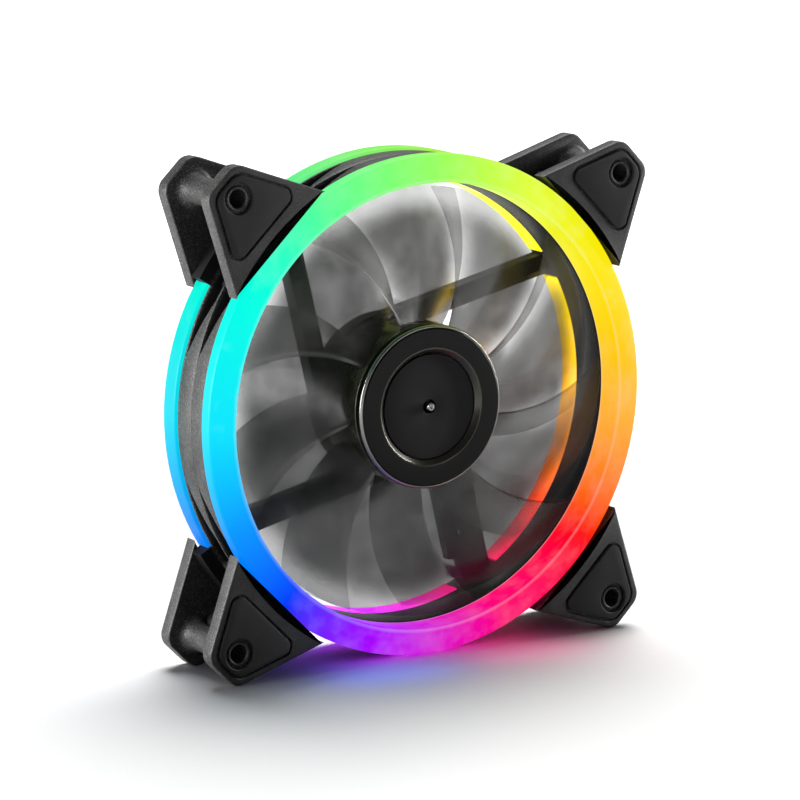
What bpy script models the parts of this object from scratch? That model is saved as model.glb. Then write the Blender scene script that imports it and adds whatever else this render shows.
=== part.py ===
"""A 120 mm case fan with a light ring on each side.

Units are metres. The fan's axis runs along Y through (0, 0, HALF_SIZE): the
intake side faces -Y, the motor's struts are at the +Y side, and the two lower
ears stand on z = 0. Every piece is drawn about the fan's axis and hangs on one
of two empties: fan_axis for what stands still and rotor_axis for what spins.
"""

import math

import bmesh
import bpy

MM = 0.001

# Overall size
HALF_SIZE = 60 * MM
PAD_FACE = 12.5 * MM
EAR_FACE = 12.2 * MM
EAR_BACK = 8.2 * MM
GAP = 0.3 * MM

# Duct and outer band of the frame
DUCT_RADIUS = 53.0 * MM
SHOULDER_RADIUS = 54.6 * MM
BAND_RADIUS = 59 * MM
BAND_FRONT = -7.1 * MM
BAND_REAR = 5.1 * MM
DUCT_FRONT = -4.4 * MM
DUCT_REAR = 5.6 * MM

# Tapered pockets in the outer band, two beside each other at every corner
POCKET_FLOOR = 55.6 * MM
POCKET_START = math.radians(14.6)
POCKET_TAPER = math.radians(14)
POCKET_WIDTH = 4.9 * MM
POCKET_REARS = (-1.4 * MM, 4.3 * MM)
POCKET_POINT = 0.15 * MM
POCKET_STEPS = 4

# Ears, with the screw holes at their corners
SCREW_OFFSET = 52.5 * MM
SCREW_HOLE_RADIUS = 2.15 * MM
COLLAR_RADIUS = 2.9 * MM
COLLAR_FACE = 12.0 * MM
POST_RADIUS = 3.4 * MM
EAR_ARC_RADIUS = 60.8 * MM
EAR_ARC_START = math.radians(30.2)
EAR_TIP = (52.8 * MM, 29.8 * MM)
EAR_CORNER_RADIUS = 3.8 * MM
EAR_CORNER = (HALF_SIZE - EAR_CORNER_RADIUS, 52.2 * MM)
EAR_SLANT = math.radians(-18.2)
ROOT_OUTER_RADIUS = 62.6 * MM
FLANGE = 0.8 * MM
OVERLAP = 0.4 * MM
GUSSET_THICKNESS = 1.6 * MM

# Rubber pads, and the recesses that hold them
PAD_DEPTH = 0.9 * MM
PAD_GROOVE = 0.6 * MM
PAD_HOLE_RADIUS = 3.6 * MM
PAD_OUTLINE = (
    (39.0 * MM, 51.6 * MM),
    (51.6 * MM, 39.0 * MM),
    (53.9 * MM, 39.6 * MM),
    (57.9 * MM, 51.9 * MM),
    (57.3 * MM, 53.8 * MM),
    (53.8 * MM, 57.3 * MM),
    (51.9 * MM, 57.9 * MM),
    (39.6 * MM, 53.9 * MM),
)

# Motor base and the struts that carry it
BASE_RADIUS = 20 * MM
BASE_RIM_INNER = 18.3 * MM
BASE_RIM_FRONT = 8.2 * MM
BASE_FRONT = 9.4 * MM
BASE_REAR = 12.2 * MM
LABEL_RECESS_RADIUS = 16.2 * MM
LABEL_RECESS_FLOOR = 11.7 * MM
TUBE_INNER = 3.0 * MM
TUBE_OUTER = 4.3 * MM
TUBE_FRONT = -4.2 * MM
STRUT_FRONT = 7.4 * MM
STRUT_REAR = 11.8 * MM
STRUT_DIRECTION = math.radians(14)
STRUT_OFFSETS = (14.0 * MM, 19.6 * MM)
STRUT_CHAMFER = 1.8 * MM
CABLE_STRUT = 1
CABLE_STRUT_OFFSETS = (7.2 * MM, 17.4 * MM)
CABLE_CHANNEL_WALL = 1.2 * MM
CABLE_CHANNEL_FLOOR = 9.0 * MM
CABLE_CHANNEL_REACH = (16.5 * MM, 49.5 * MM)
TIE_SLOT_REACH = (39.0 * MM, 40.6 * MM)
TIE_SLOT_SIDES = (10.4 * MM, 11.6 * MM)
INLET_REACH = (11.0 * MM, 17.0 * MM)
INLET_SIDES = (10.5 * MM, 14.5 * MM)
HOOK_REACH = (46.2 * MM, 48.4 * MM)
HOOK_SIDES = (4.9 * MM, 8.5 * MM)
FOOT_INNER = 53.25 * MM
FOOT_OUTER = 54.4 * MM
FOOT_FRONT = 4.2 * MM
FOOT_MARGIN = math.radians(0.8)
NOTCH_MARGIN = math.radians(0.5)

# Light rings: channels that open towards the frame
RING_OUTER = 59.7 * MM
RING_WALL = 1.4 * MM
RING_INNER = DUCT_RADIUS
RING_LIP_ROUND = 0.5 * MM
FRONT_RING_ENDS = (7.4 * MM, 4.7 * MM)
FRONT_RING_LIPS = (11.1 * MM, 12.2 * MM)
REAR_RING_ENDS = (5.4 * MM, 5.9 * MM)
REAR_RING_LIPS = (10.9 * MM, 12.1 * MM)
STRIP_RADII = (54.8 * MM, 57.8 * MM)
STRIP_THICKNESS = 0.4 * MM
LED_COUNT = 8
LED_SIZE = 2.4 * MM
LED_HEIGHT = 1.4 * MM

# Bearing parts, each from its front end to its rear end
SLEEVE_ENDS = (-2.6 * MM, 7.9 * MM)
SEAL_ENDS = (-3.7 * MM, -2.9 * MM)
THRUST_PAD_ENDS = (9.6 * MM, 10.2 * MM)
PLUG_ENDS = (10.5 * MM, 11.5 * MM)

# Stator
CORE_ENDS = (-1.5 * MM, 3.5 * MM)
INSULATOR_THICKNESS = 0.9 * MM
STATOR_BODY_RADIUS = 7.0 * MM
ARM_HALF_WIDTH = 1.5 * MM
SHOE_RADIUS = 12.6 * MM
SHOE_THICKNESS = 1.3 * MM
SHOE_HALF_ANGLE = math.radians(36)
INSULATOR_HALF_ANGLE = math.radians(32)
COIL_REACH = (7.9 * MM, 11.5 * MM)
COIL_HALF_WIDTH = 3.3 * MM
COIL_ENDS = (-4.3 * MM, 6.3 * MM)

# Motor circuit board; each part has its angle, near and far reach, half width and height
BOARD_ENDS = (8.1 * MM, 9.1 * MM)
BOARD_RADIUS = 17.4 * MM
BOARD_PARTS = (
    ("hall_sensor", 45, 13.0 * MM, 14.4 * MM, 1.5 * MM, 1.0 * MM),
    ("driver_chip", 135, 8.0 * MM, 12.0 * MM, 2.4 * MM, 1.1 * MM),
    ("capacitor_1", 210, 12.4 * MM, 14.0 * MM, 0.8 * MM, 1.0 * MM),
    ("capacitor_2", 240, 12.4 * MM, 14.0 * MM, 0.8 * MM, 1.0 * MM),
)
PIN_RADIUS = 0.4 * MM
PIN_CIRCLE_RADIUS = 6.0 * MM
PIN_ENDS = (5.0 * MM, 7.8 * MM)

# Rotor
HUB_RADIUS = 19.6 * MM
HUB_WALL_INNER = 18.0 * MM
HUB_FRONT = -8.6 * MM
HUB_WEB_REAR = -7.6 * MM
HUB_REAR = 7.0 * MM
CAP_FACE = -11.0 * MM
CAP_BACK = -8.9 * MM
CAP_CHAMFER = 0.6 * MM
CAP_RECESS_RADIUS = 12.7 * MM
CAP_RECESS_EDGE = -9.8 * MM
CAP_SLOPE_RADIUS = 14.2 * MM
LABEL_FLOOR = -9.4 * MM
LABEL_FACE = -10.0 * MM
LABEL_RADIUS = 12.4 * MM
BLADE_COUNT = 9
BLADE_TIP_RADIUS = 51.8 * MM
BLADE_ROOT_RADIUS = 18.8 * MM
BLADE_FRONT = -8.0 * MM
BLADE_REAR = 5.9 * MM
BLADE_SPAN_ROOT = math.radians(58)
BLADE_SPAN_TIP = math.radians(56)
BLADE_SWEEP = math.radians(20)
BLADE_THICKNESS = 1.5 * MM
BLADE_ROWS = 5
BLADE_COLUMNS = 4
BLADE_BEND = 1.4 * MM
BLADE_TAPER = 0.08
YOKE_WALL = 0.9 * MM
YOKE_ENDS = (-7.3 * MM, 6.8 * MM)
YOKE_BOSS_RADIUS = 2.6 * MM
YOKE_BOSS_REAR = -5.0 * MM
MAGNET_INNER = 14.8 * MM
MAGNET_ENDS = (-5.6 * MM, 6.0 * MM)
SHAFT_RADIUS = 1.05 * MM
SHAFT_HOLE_RADIUS = 1.7 * MM
SHAFT_ENDS = (-10.9 * MM, 9.3 * MM)
SHAFT_TIP_RADIUS = 0.8 * MM
SHAFT_TIP_LENGTH = 0.3 * MM
GROOVE_RADIUS = 0.75 * MM
GROOVE_ENDS = (8.2 * MM, 9.0 * MM)
CLIP_RADIUS = 2.2 * MM
CLIP_ENDS = (8.4 * MM, 8.8 * MM)
CLIP_OPENING = math.radians(40)

FRAME_SIDES = 60
RING_SIDES = 48
HUB_SIDES = 36
SMALL_SIDES = 12
PIN_SIDES = 6
SMOOTH_ANGLE = math.radians(32)

AXES = {}


def clear_scene():
    for leftover in list(bpy.data.objects):
        bpy.data.objects.remove(leftover, do_unlink=True)


def add_axis(name):
    axis = bpy.data.objects.new(name, None)
    axis.empty_display_size = 20 * MM
    axis.location = (0, 0, HALF_SIZE)
    bpy.context.scene.collection.objects.link(axis)
    AXES[name] = axis


def make_material(name, colour, roughness, metallic=0.0, glow=None, clear=0.0):
    material = bpy.data.materials.new(name)
    material.use_nodes = True
    shader = material.node_tree.nodes["Principled BSDF"]
    shader.inputs["Base Color"].default_value = (*colour, 1)
    shader.inputs["Roughness"].default_value = roughness
    shader.inputs["Metallic"].default_value = metallic
    shader.inputs["Transmission Weight"].default_value = clear
    if glow:
        shader.inputs["Emission Color"].default_value = (*glow, 1)
        shader.inputs["Emission Strength"].default_value = 1.0
    material.diffuse_color = (*colour, 1)
    return material


def make_object(name, mesh_builder, material=None, axis="fan_axis"):
    mesh = bpy.data.meshes.new(name)
    mesh_builder.normal_update()
    bmesh.ops.recalc_face_normals(mesh_builder, faces=mesh_builder.faces)
    mesh_builder.to_mesh(mesh)
    mesh_builder.free()
    mesh.shade_smooth()
    mesh.set_sharp_from_angle(angle=SMOOTH_ANGLE)
    piece = bpy.data.objects.new(name, mesh)
    piece.parent = AXES[axis]
    bpy.context.scene.collection.objects.link(piece)
    if material:
        mesh.materials.append(material)
    return piece


def turned(profile, sides, centre=(0.0, 0.0)):
    """A closed (radius, y) profile turned about the line along Y through centre."""
    builder = bmesh.new()
    rings = []
    for radius, y in profile:
        if radius == 0:
            rings.append([builder.verts.new((centre[0], y, centre[1]))])
            continue
        ring = []
        for step in range(sides):
            angle = 2 * math.pi * step / sides
            x = centre[0] + radius * math.cos(angle)
            z = centre[1] + radius * math.sin(angle)
            ring.append(builder.verts.new((x, y, z)))
        rings.append(ring)
    for first, second in zip(rings, rings[1:] + rings[:1]):
        if len(first) == 1 and len(second) == 1:
            continue
        for step in range(sides):
            after = (step + 1) % sides
            corners = [first[step % len(first)], first[after % len(first)]]
            corners += [second[after % len(second)], second[step % len(second)]]
            builder.faces.new(list(dict.fromkeys(corners)))
    return builder


def extruded(outline, front, rear):
    """An (x, z) outline drawn out along Y from front to rear."""
    builder = bmesh.new()
    near = [builder.verts.new((x, front, z)) for x, z in outline]
    far = [builder.verts.new((x, rear, z)) for x, z in outline]
    builder.faces.new(near)
    builder.faces.new(far)
    for step in range(len(outline)):
        after = (step + 1) % len(outline)
        builder.faces.new((near[step], near[after], far[after], far[step]))
    return builder


def bridged(sections):
    """A solid through closed sections that all have the same number of points."""
    builder = bmesh.new()
    loops = [[builder.verts.new(point) for point in section] for section in sections]
    builder.faces.new(loops[0])
    builder.faces.new(loops[-1])
    for first, second in zip(loops, loops[1:]):
        for step in range(len(first)):
            after = (step + 1) % len(first)
            builder.faces.new((first[step], first[after], second[after], second[step]))
    return builder


def on_circle(radius, angle):
    return radius * math.cos(angle), radius * math.sin(angle)


def arc(centre, radius, start, end, steps):
    points = []
    for step in range(steps + 1):
        angle = start + (end - start) * step / steps
        x = centre[0] + radius * math.cos(angle)
        z = centre[1] + radius * math.sin(angle)
        points.append((x, z))
    return points


def sector(inner, outer, front, rear, start, end, steps):
    """A curved block between two radii and two angles."""
    outline = arc((0, 0), outer, start, end, steps)
    outline += arc((0, 0), inner, end, start, steps)
    return extruded(outline, front, rear)


def along(direction, distance, offset):
    """The (x, z) point at a distance along a direction, and offset to its left."""
    x = distance * math.cos(direction) - offset * math.sin(direction)
    z = distance * math.sin(direction) + offset * math.cos(direction)
    return x, z


def block(direction, distances, offsets, front, rear):
    """A box whose length runs along a direction in the XZ plane."""
    outline = [
        along(direction, distances[0], offsets[0]),
        along(direction, distances[1], offsets[0]),
        along(direction, distances[1], offsets[1]),
        along(direction, distances[0], offsets[1]),
    ]
    return extruded(outline, front, rear)


def mirrored(outline, side_x, side_z):
    return [(x * side_x, z * side_z) for x, z in outline]


def grown(outline, amount):
    """A convex counter-clockwise or clockwise outline with its sides moved outwards."""
    count = len(outline)
    middle_x = sum(x for x, _ in outline) / count
    middle_z = sum(z for _, z in outline) / count
    lines = []
    for step in range(count):
        x0, z0 = outline[step]
        x1, z1 = outline[(step + 1) % count]
        length = math.hypot(x1 - x0, z1 - z0)
        normal = ((z1 - z0) / length, (x0 - x1) / length)
        reach = normal[0] * (x0 - middle_x) + normal[1] * (z0 - middle_z)
        if reach < 0:
            normal = (-normal[0], -normal[1])
        lines.append((normal, normal[0] * x0 + normal[1] * z0 + amount))
    corners = []
    for step in range(count):
        (a, b), p = lines[step - 1]
        (c, d), q = lines[step]
        determinant = a * d - b * c
        corners.append(((p * d - b * q) / determinant, (a * q - p * c) / determinant))
    return corners


def combine(piece, operation, helpers, solver="EXACT"):
    """Joins or cuts a piece with helpers, which stay in the file as guides."""
    group = bpy.data.collections.new(f"{piece.name}_{operation.lower()}")
    bpy.context.scene.collection.children.link(group)
    for helper in helpers:
        bpy.context.scene.collection.objects.unlink(helper)
        group.objects.link(helper)
        helper.hide_render = True
        helper.display_type = "WIRE"
    modifier = piece.modifiers.new(operation.title(), "BOOLEAN")
    modifier.operation = operation
    modifier.operand_type = "COLLECTION"
    modifier.collection = group
    modifier.solver = solver


# ---------------------------------------------------------------- the frame


def ear_outline():
    """The ear at the +X +Z corner: slanted sides, a cut-off corner and an inner arc."""
    corner_z, corner_x = EAR_CORNER
    right = arc(EAR_CORNER, EAR_CORNER_RADIUS, EAR_SLANT, 0, 1)
    right += arc(EAR_CORNER, EAR_CORNER_RADIUS, 0, math.pi / 4, 3)[1:]
    top = arc((corner_x, corner_z), EAR_CORNER_RADIUS, math.pi / 4, math.pi / 2, 3)
    top += arc((corner_x, corner_z), EAR_CORNER_RADIUS, math.pi / 2, math.pi / 2 - EAR_SLANT, 1)[1:]
    inner = arc((0, 0), EAR_ARC_RADIUS, math.pi / 2 - EAR_ARC_START, EAR_ARC_START, 7)
    tip_x, tip_z = EAR_TIP
    return [EAR_TIP, *right, *top, (tip_z, tip_x), *inner]


def corner_signs():
    return [(side_x, side_z) for side_z in (1, -1) for side_x in (-1, 1)]


def corner_angle(side_x, side_z):
    return math.atan2(side_z, side_x)


def swept(profile, start, end, steps):
    """A closed (radius, y) profile carried round the fan's axis from start to end."""
    sections = []
    for step in range(steps + 1):
        angle = start + (end - start) * step / steps
        section = []
        for radius, y in profile:
            x, z = on_circle(radius, angle)
            section.append((x, y, z))
        sections.append(section)
    return bridged(sections)


def add_ears():
    """Front and rear plates at each corner, each on a curved root above the band."""
    pieces = []
    clear_of_ring = RING_OUTER + GAP
    half_span = math.pi / 4 - EAR_ARC_START - math.radians(1)
    for side_x, side_z in corner_signs():
        outline = mirrored(ear_outline(), side_x, side_z)
        middle = corner_angle(side_x, side_z)
        for face, band_end in ((-1, -BAND_FRONT), (1, BAND_REAR)):
            plate = extruded(outline, face * EAR_BACK, face * EAR_FACE)
            pieces.append(make_object("ear_plate", plate))
            profile = [
                (clear_of_ring, EAR_BACK + OVERLAP),
                (ROOT_OUTER_RADIUS, EAR_BACK + OVERLAP),
                (ROOT_OUTER_RADIUS, band_end - FLANGE),
                (BAND_RADIUS - OVERLAP, band_end - FLANGE),
                (BAND_RADIUS - OVERLAP, band_end - 0.2 * MM),
                (clear_of_ring, band_end - 0.2 * MM),
            ]
            profile = [(radius, face * y) for radius, y in profile]
            root = swept(profile, middle - half_span, middle + half_span, 5)
            pieces.append(make_object("ear_root", root))
        width = (-GUSSET_THICKNESS / 2, GUSSET_THICKNESS / 2)
        reach = SCREW_OFFSET * math.sqrt(2) - POST_RADIUS + OVERLAP
        foot = block(
            middle,
            (POCKET_FLOOR - OVERLAP, clear_of_ring + OVERLAP),
            width,
            BAND_FRONT + OVERLAP,
            BAND_REAR - OVERLAP,
        )
        web = block(
            middle,
            (clear_of_ring + 0.1 * MM, reach),
            width,
            -EAR_BACK - OVERLAP / 2,
            EAR_BACK + OVERLAP / 2,
        )
        pieces.append(make_object("gusset_foot", foot))
        pieces.append(make_object("gusset_web", web))
    return pieces


def add_posts():
    """The tubes between the ear plates, with a collar in each recess."""
    half = [
        (0, COLLAR_FACE),
        (COLLAR_RADIUS, COLLAR_FACE),
        (COLLAR_RADIUS, EAR_BACK + 1.5 * MM),
        (POST_RADIUS, EAR_BACK + 1.5 * MM),
    ]
    profile = half + [(radius, -y) for radius, y in reversed(half)]
    posts = []
    for side_x, side_z in corner_signs():
        centre = (side_x * SCREW_OFFSET, side_z * SCREW_OFFSET)
        posts.append(make_object("screw_post", turned(profile, SMALL_SIDES, centre)))
    return posts


def screw_hole_cutters():
    cutters = []
    for side_x, side_z in corner_signs():
        centre = (side_x * SCREW_OFFSET, side_z * SCREW_OFFSET)
        length = PAD_FACE + 1 * MM
        profile = [
            (0, -length),
            (SCREW_HOLE_RADIUS, -length),
            (SCREW_HOLE_RADIUS, length),
            (0, length),
        ]
        cutters.append(make_object("screw_hole", turned(profile, SMALL_SIDES, centre)))
    return cutters


def pad_recess_cutters():
    cutters = []
    floor = PAD_FACE - PAD_DEPTH - GAP
    for side_x, side_z in corner_signs():
        outline = mirrored(grown(PAD_OUTLINE, PAD_GROOVE), side_x, side_z)
        for face in (-1, 1):
            cutter = extruded(outline, face * floor, face * (PAD_FACE + 1 * MM))
            cutters.append(make_object("pad_recess", cutter))
    return cutters


def pocket_cutters():
    """Each pocket widens from a point to its full width, then narrows to a point again."""
    cutters = []
    span = math.pi / 2 - 2 * POCKET_START
    straight = span - 2 * POCKET_TAPER
    turns = [0]
    turns += [POCKET_TAPER + straight * step / POCKET_STEPS for step in range(POCKET_STEPS + 1)]
    turns += [span]
    for quarter in range(4):
        for rear in POCKET_REARS:
            sections = []
            for turn in turns:
                share = min(1.0, turn / POCKET_TAPER, (span - turn) / POCKET_TAPER)
                width = POCKET_POINT + (POCKET_WIDTH - POCKET_POINT) * share
                angle = quarter * math.pi / 2 + POCKET_START + turn
                section = []
                for radius, y in (
                    (POCKET_FLOOR, rear),
                    (POCKET_FLOOR, rear - width),
                    (BAND_RADIUS + 1 * MM, rear - width),
                    (BAND_RADIUS + 1 * MM, rear),
                ):
                    point = (radius * math.cos(angle), y, radius * math.sin(angle))
                    section.append(point)
                sections.append(section)
            cutters.append(make_object("band_pocket", bridged(sections)))
    return cutters


def strut_layout():
    """The direction, the two side offsets and the end angles of each strut."""
    layout = []
    for quarter in range(4):
        direction = STRUT_DIRECTION - quarter * math.pi / 2
        offsets = CABLE_STRUT_OFFSETS if quarter == CABLE_STRUT else STRUT_OFFSETS
        start = direction + math.asin(offsets[0] / FOOT_INNER)
        end = direction + math.asin(offsets[1] / FOOT_INNER)
        layout.append((direction, offsets, start, end))
    return layout


def add_struts():
    pieces = []
    for direction, offsets, start, end in strut_layout():
        low, high = offsets
        chamfer_y = STRUT_FRONT + STRUT_CHAMFER * 0.9
        cross_section = [
            (low + STRUT_CHAMFER, STRUT_FRONT),
            (high, STRUT_FRONT),
            (high, STRUT_REAR),
            (low, STRUT_REAR),
            (low, chamfer_y),
        ]
        reach = math.sqrt((FOOT_OUTER - 0.4 * MM) ** 2 - high**2)
        sections = []
        for distance in (0, reach):
            section = []
            for offset, y in cross_section:
                x, z = along(direction, distance, offset)
                section.append((x, y, z))
            sections.append(section)
        pieces.append(make_object("strut", bridged(sections)))
        foot = sector(
            FOOT_INNER,
            FOOT_OUTER,
            FOOT_FRONT,
            STRUT_REAR - 0.2 * MM,
            start - FOOT_MARGIN,
            end + FOOT_MARGIN,
            4,
        )
        pieces.append(make_object("strut_foot", foot))
    return pieces


def cable_cutters():
    """The wide strut's cable channel, its tie slot and hook, and the lead's way in."""
    direction, offsets, _, _ = strut_layout()[CABLE_STRUT]
    walls = (offsets[0] + CABLE_CHANNEL_WALL, offsets[1] - CABLE_CHANNEL_WALL)
    rear = BASE_REAR + 1 * MM
    through_strut = STRUT_FRONT - 1 * MM
    cuts = (
        ("cable_channel", CABLE_CHANNEL_REACH, walls, CABLE_CHANNEL_FLOOR),
        ("cable_tie_slot", TIE_SLOT_REACH, TIE_SLOT_SIDES, through_strut),
        ("cable_inlet", INLET_REACH, INLET_SIDES, BASE_RIM_FRONT - 1 * MM),
        ("cable_hook", HOOK_REACH, HOOK_SIDES, through_strut),
    )
    cutters = []
    for name, reach, sides, near in cuts:
        cutters.append(make_object(name, block(direction, reach, sides, near, rear)))
    return cutters


def motor_bay_cutter():
    """The round bay inside the base's rim, which the struts run up to but not into."""
    profile = [
        (0, DUCT_REAR),
        (BASE_RIM_INNER, DUCT_REAR),
        (BASE_RIM_INNER, BASE_FRONT),
        (0, BASE_FRONT),
    ]
    return make_object("motor_bay", turned(profile, HUB_SIDES))


def add_motor_base():
    profile = [
        (TUBE_INNER, TUBE_FRONT),
        (TUBE_OUTER, TUBE_FRONT),
        (TUBE_OUTER, BASE_FRONT),
        (BASE_RIM_INNER, BASE_FRONT),
        (BASE_RIM_INNER, BASE_RIM_FRONT),
        (BASE_RADIUS, BASE_RIM_FRONT),
        (BASE_RADIUS, BASE_REAR),
        (LABEL_RECESS_RADIUS, BASE_REAR),
        (LABEL_RECESS_RADIUS, LABEL_RECESS_FLOOR),
        (TUBE_INNER, LABEL_RECESS_FLOOR),
    ]
    return make_object("motor_base", turned(profile, HUB_SIDES))


def add_frame():
    black = make_material("frame_plastic", (0.022, 0.023, 0.025), 0.55)
    profile = [
        (DUCT_RADIUS, DUCT_FRONT),
        (SHOULDER_RADIUS, DUCT_FRONT),
        (SHOULDER_RADIUS, BAND_FRONT),
        (BAND_RADIUS, BAND_FRONT),
        (BAND_RADIUS, BAND_REAR),
        (SHOULDER_RADIUS, BAND_REAR),
        (SHOULDER_RADIUS, DUCT_REAR),
        (DUCT_RADIUS, DUCT_REAR),
    ]
    frame = make_object("frame", turned(profile, FRAME_SIDES), black)
    combine(frame, "DIFFERENCE", pocket_cutters())
    combine(frame, "UNION", [*add_ears(), *add_struts()])
    combine(frame, "DIFFERENCE", [*pad_recess_cutters(), motor_bay_cutter()])
    combine(frame, "UNION", [*add_posts(), add_motor_base()])
    combine(frame, "DIFFERENCE", [*screw_hole_cutters(), *cable_cutters()])


# ------------------------------------------------------------ lights and pads


def ring_profile(face, ends, lips):
    """A channel section that opens towards the frame; face is -1 in front and 1 behind.

    Both ends and both lips are given as the outer wall's depth and then the inner wall's.
    """
    outer_end, inner_end = ends
    outer_lip, inner_lip = lips
    profile = [
        (RING_OUTER - RING_WALL, outer_end),
        (RING_OUTER - 0.1 * MM, outer_end),
        (RING_OUTER, outer_lip - RING_LIP_ROUND),
        (RING_OUTER - RING_LIP_ROUND, outer_lip),
        (RING_INNER + 0.9 * MM, inner_lip),
        (RING_INNER + 0.3 * MM, inner_lip - 0.2 * MM),
        (RING_INNER, inner_lip - 0.9 * MM),
        (RING_INNER, inner_end),
        (RING_INNER + RING_WALL, inner_end),
        (RING_INNER + RING_WALL, inner_lip - 1.6 * MM),
        (RING_OUTER - RING_WALL, outer_lip - 1.1 * MM),
    ]
    return [(radius, face * y) for radius, y in profile]


def add_light_rings():
    white = make_material("light_ring_plastic", (0.9, 0.92, 0.95), 0.35, glow=(0.4, 0.6, 0.9))
    front_profile = ring_profile(-1, FRONT_RING_ENDS, FRONT_RING_LIPS)
    rear_profile = ring_profile(1, REAR_RING_ENDS, REAR_RING_LIPS)
    make_object("front_light_ring", turned(front_profile, RING_SIDES), white)
    rear = make_object("rear_light_ring", turned(rear_profile, RING_SIDES), white)
    notches = []
    for _, _, start, end in strut_layout():
        margin = FOOT_MARGIN + NOTCH_MARGIN
        notch = sector(
            RING_INNER - 1 * MM,
            RING_INNER + RING_WALL + 0.4 * MM,
            DUCT_REAR - 1 * MM,
            PAD_FACE,
            start - margin,
            end + margin,
            4,
        )
        notches.append(make_object("strut_notch", notch))
    combine(rear, "DIFFERENCE", notches)


def add_led_strips():
    board = make_material("led_strip_board", (0.75, 0.76, 0.74), 0.5)
    lens = make_material("led_lens", (0.95, 0.93, 0.8), 0.25)
    inner, outer = STRIP_RADII
    middle = (inner + outer) / 2
    for side, face, seat in (("front", -1, -BAND_FRONT), ("rear", 1, BAND_REAR)):
        near = seat + GAP
        far = near + STRIP_THICKNESS
        profile = [(inner, near), (outer, near), (outer, far), (inner, far)]
        profile = [(radius, face * y) for radius, y in profile]
        make_object(f"{side}_led_strip", turned(profile, RING_SIDES), board)
        for number in range(LED_COUNT):
            angle = 2 * math.pi * (number + 0.5) / LED_COUNT
            led = block(
                angle,
                (middle - LED_SIZE / 2, middle + LED_SIZE / 2),
                (-LED_SIZE / 2, LED_SIZE / 2),
                face * (far + GAP),
                face * (far + GAP + LED_HEIGHT),
            )
            make_object(f"{side}_led_{number + 1}", led, lens)


def add_corner_pads():
    rubber = make_material("pad_rubber", (0.012, 0.012, 0.013), 0.8)
    names = {
        (-1, 1): "upper_left",
        (1, 1): "upper_right",
        (-1, -1): "lower_left",
        (1, -1): "lower_right",
    }
    for side_x, side_z in corner_signs():
        outline = mirrored(PAD_OUTLINE, side_x, side_z)
        centre = (side_x * SCREW_OFFSET, side_z * SCREW_OFFSET)
        for side, face in (("front", -1), ("rear", 1)):
            pad = extruded(outline, face * (PAD_FACE - PAD_DEPTH), face * PAD_FACE)
            piece = make_object(f"{side}_pad_{names[side_x, side_z]}", pad, rubber)
            profile = [
                (0, face * (PAD_FACE - 2 * MM)),
                (PAD_HOLE_RADIUS, face * (PAD_FACE - 2 * MM)),
                (PAD_HOLE_RADIUS, face * (PAD_FACE + 1 * MM)),
                (0, face * (PAD_FACE + 1 * MM)),
            ]
            hole = make_object("pad_hole", turned(profile, SMALL_SIDES, centre))
            combine(piece, "DIFFERENCE", [hole])


# ------------------------------------------------------------------ the motor


def add_bearing():
    bronze = make_material("bearing_bronze", (0.5, 0.33, 0.16), 0.35, 1.0)
    nylon = make_material("nylon", (0.8, 0.8, 0.76), 0.5)
    rubber = make_material("seal_rubber", (0.03, 0.03, 0.03), 0.7)
    outer = TUBE_INNER - GAP
    bore = SHAFT_RADIUS + GAP
    pieces = (
        ("bearing_sleeve", bore, SLEEVE_ENDS, bronze),
        ("oil_seal", bore, SEAL_ENDS, rubber),
        ("thrust_pad", 0, THRUST_PAD_ENDS, nylon),
        ("bearing_plug", 0, PLUG_ENDS, rubber),
    )
    for name, inner, (front, rear), material in pieces:
        profile = [(inner, front), (outer, front), (outer, rear), (inner, rear)]
        make_object(name, turned(profile, SMALL_SIDES), material)


def pole_outline(body, half_arm, shoe, tip):
    """Four arms on a round body, each ending in a curved shoe wider than the arm."""
    outline = []
    root_angle = math.asin(half_arm / body)
    arm_angle = math.asin(half_arm / shoe)
    for pole in range(4):
        middle = pole * math.pi / 2
        outline += arc((0, 0), body, middle - math.pi / 2 + root_angle, middle - root_angle, 3)
        outline.append(on_circle(shoe, middle - arm_angle))
        outline.append(on_circle(shoe, middle - tip))
        outline += arc((0, 0), shoe + SHOE_THICKNESS, middle - tip, middle + tip, 5)
        outline.append(on_circle(shoe, middle + tip))
        outline.append(on_circle(shoe, middle + arm_angle))
    return outline


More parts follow.
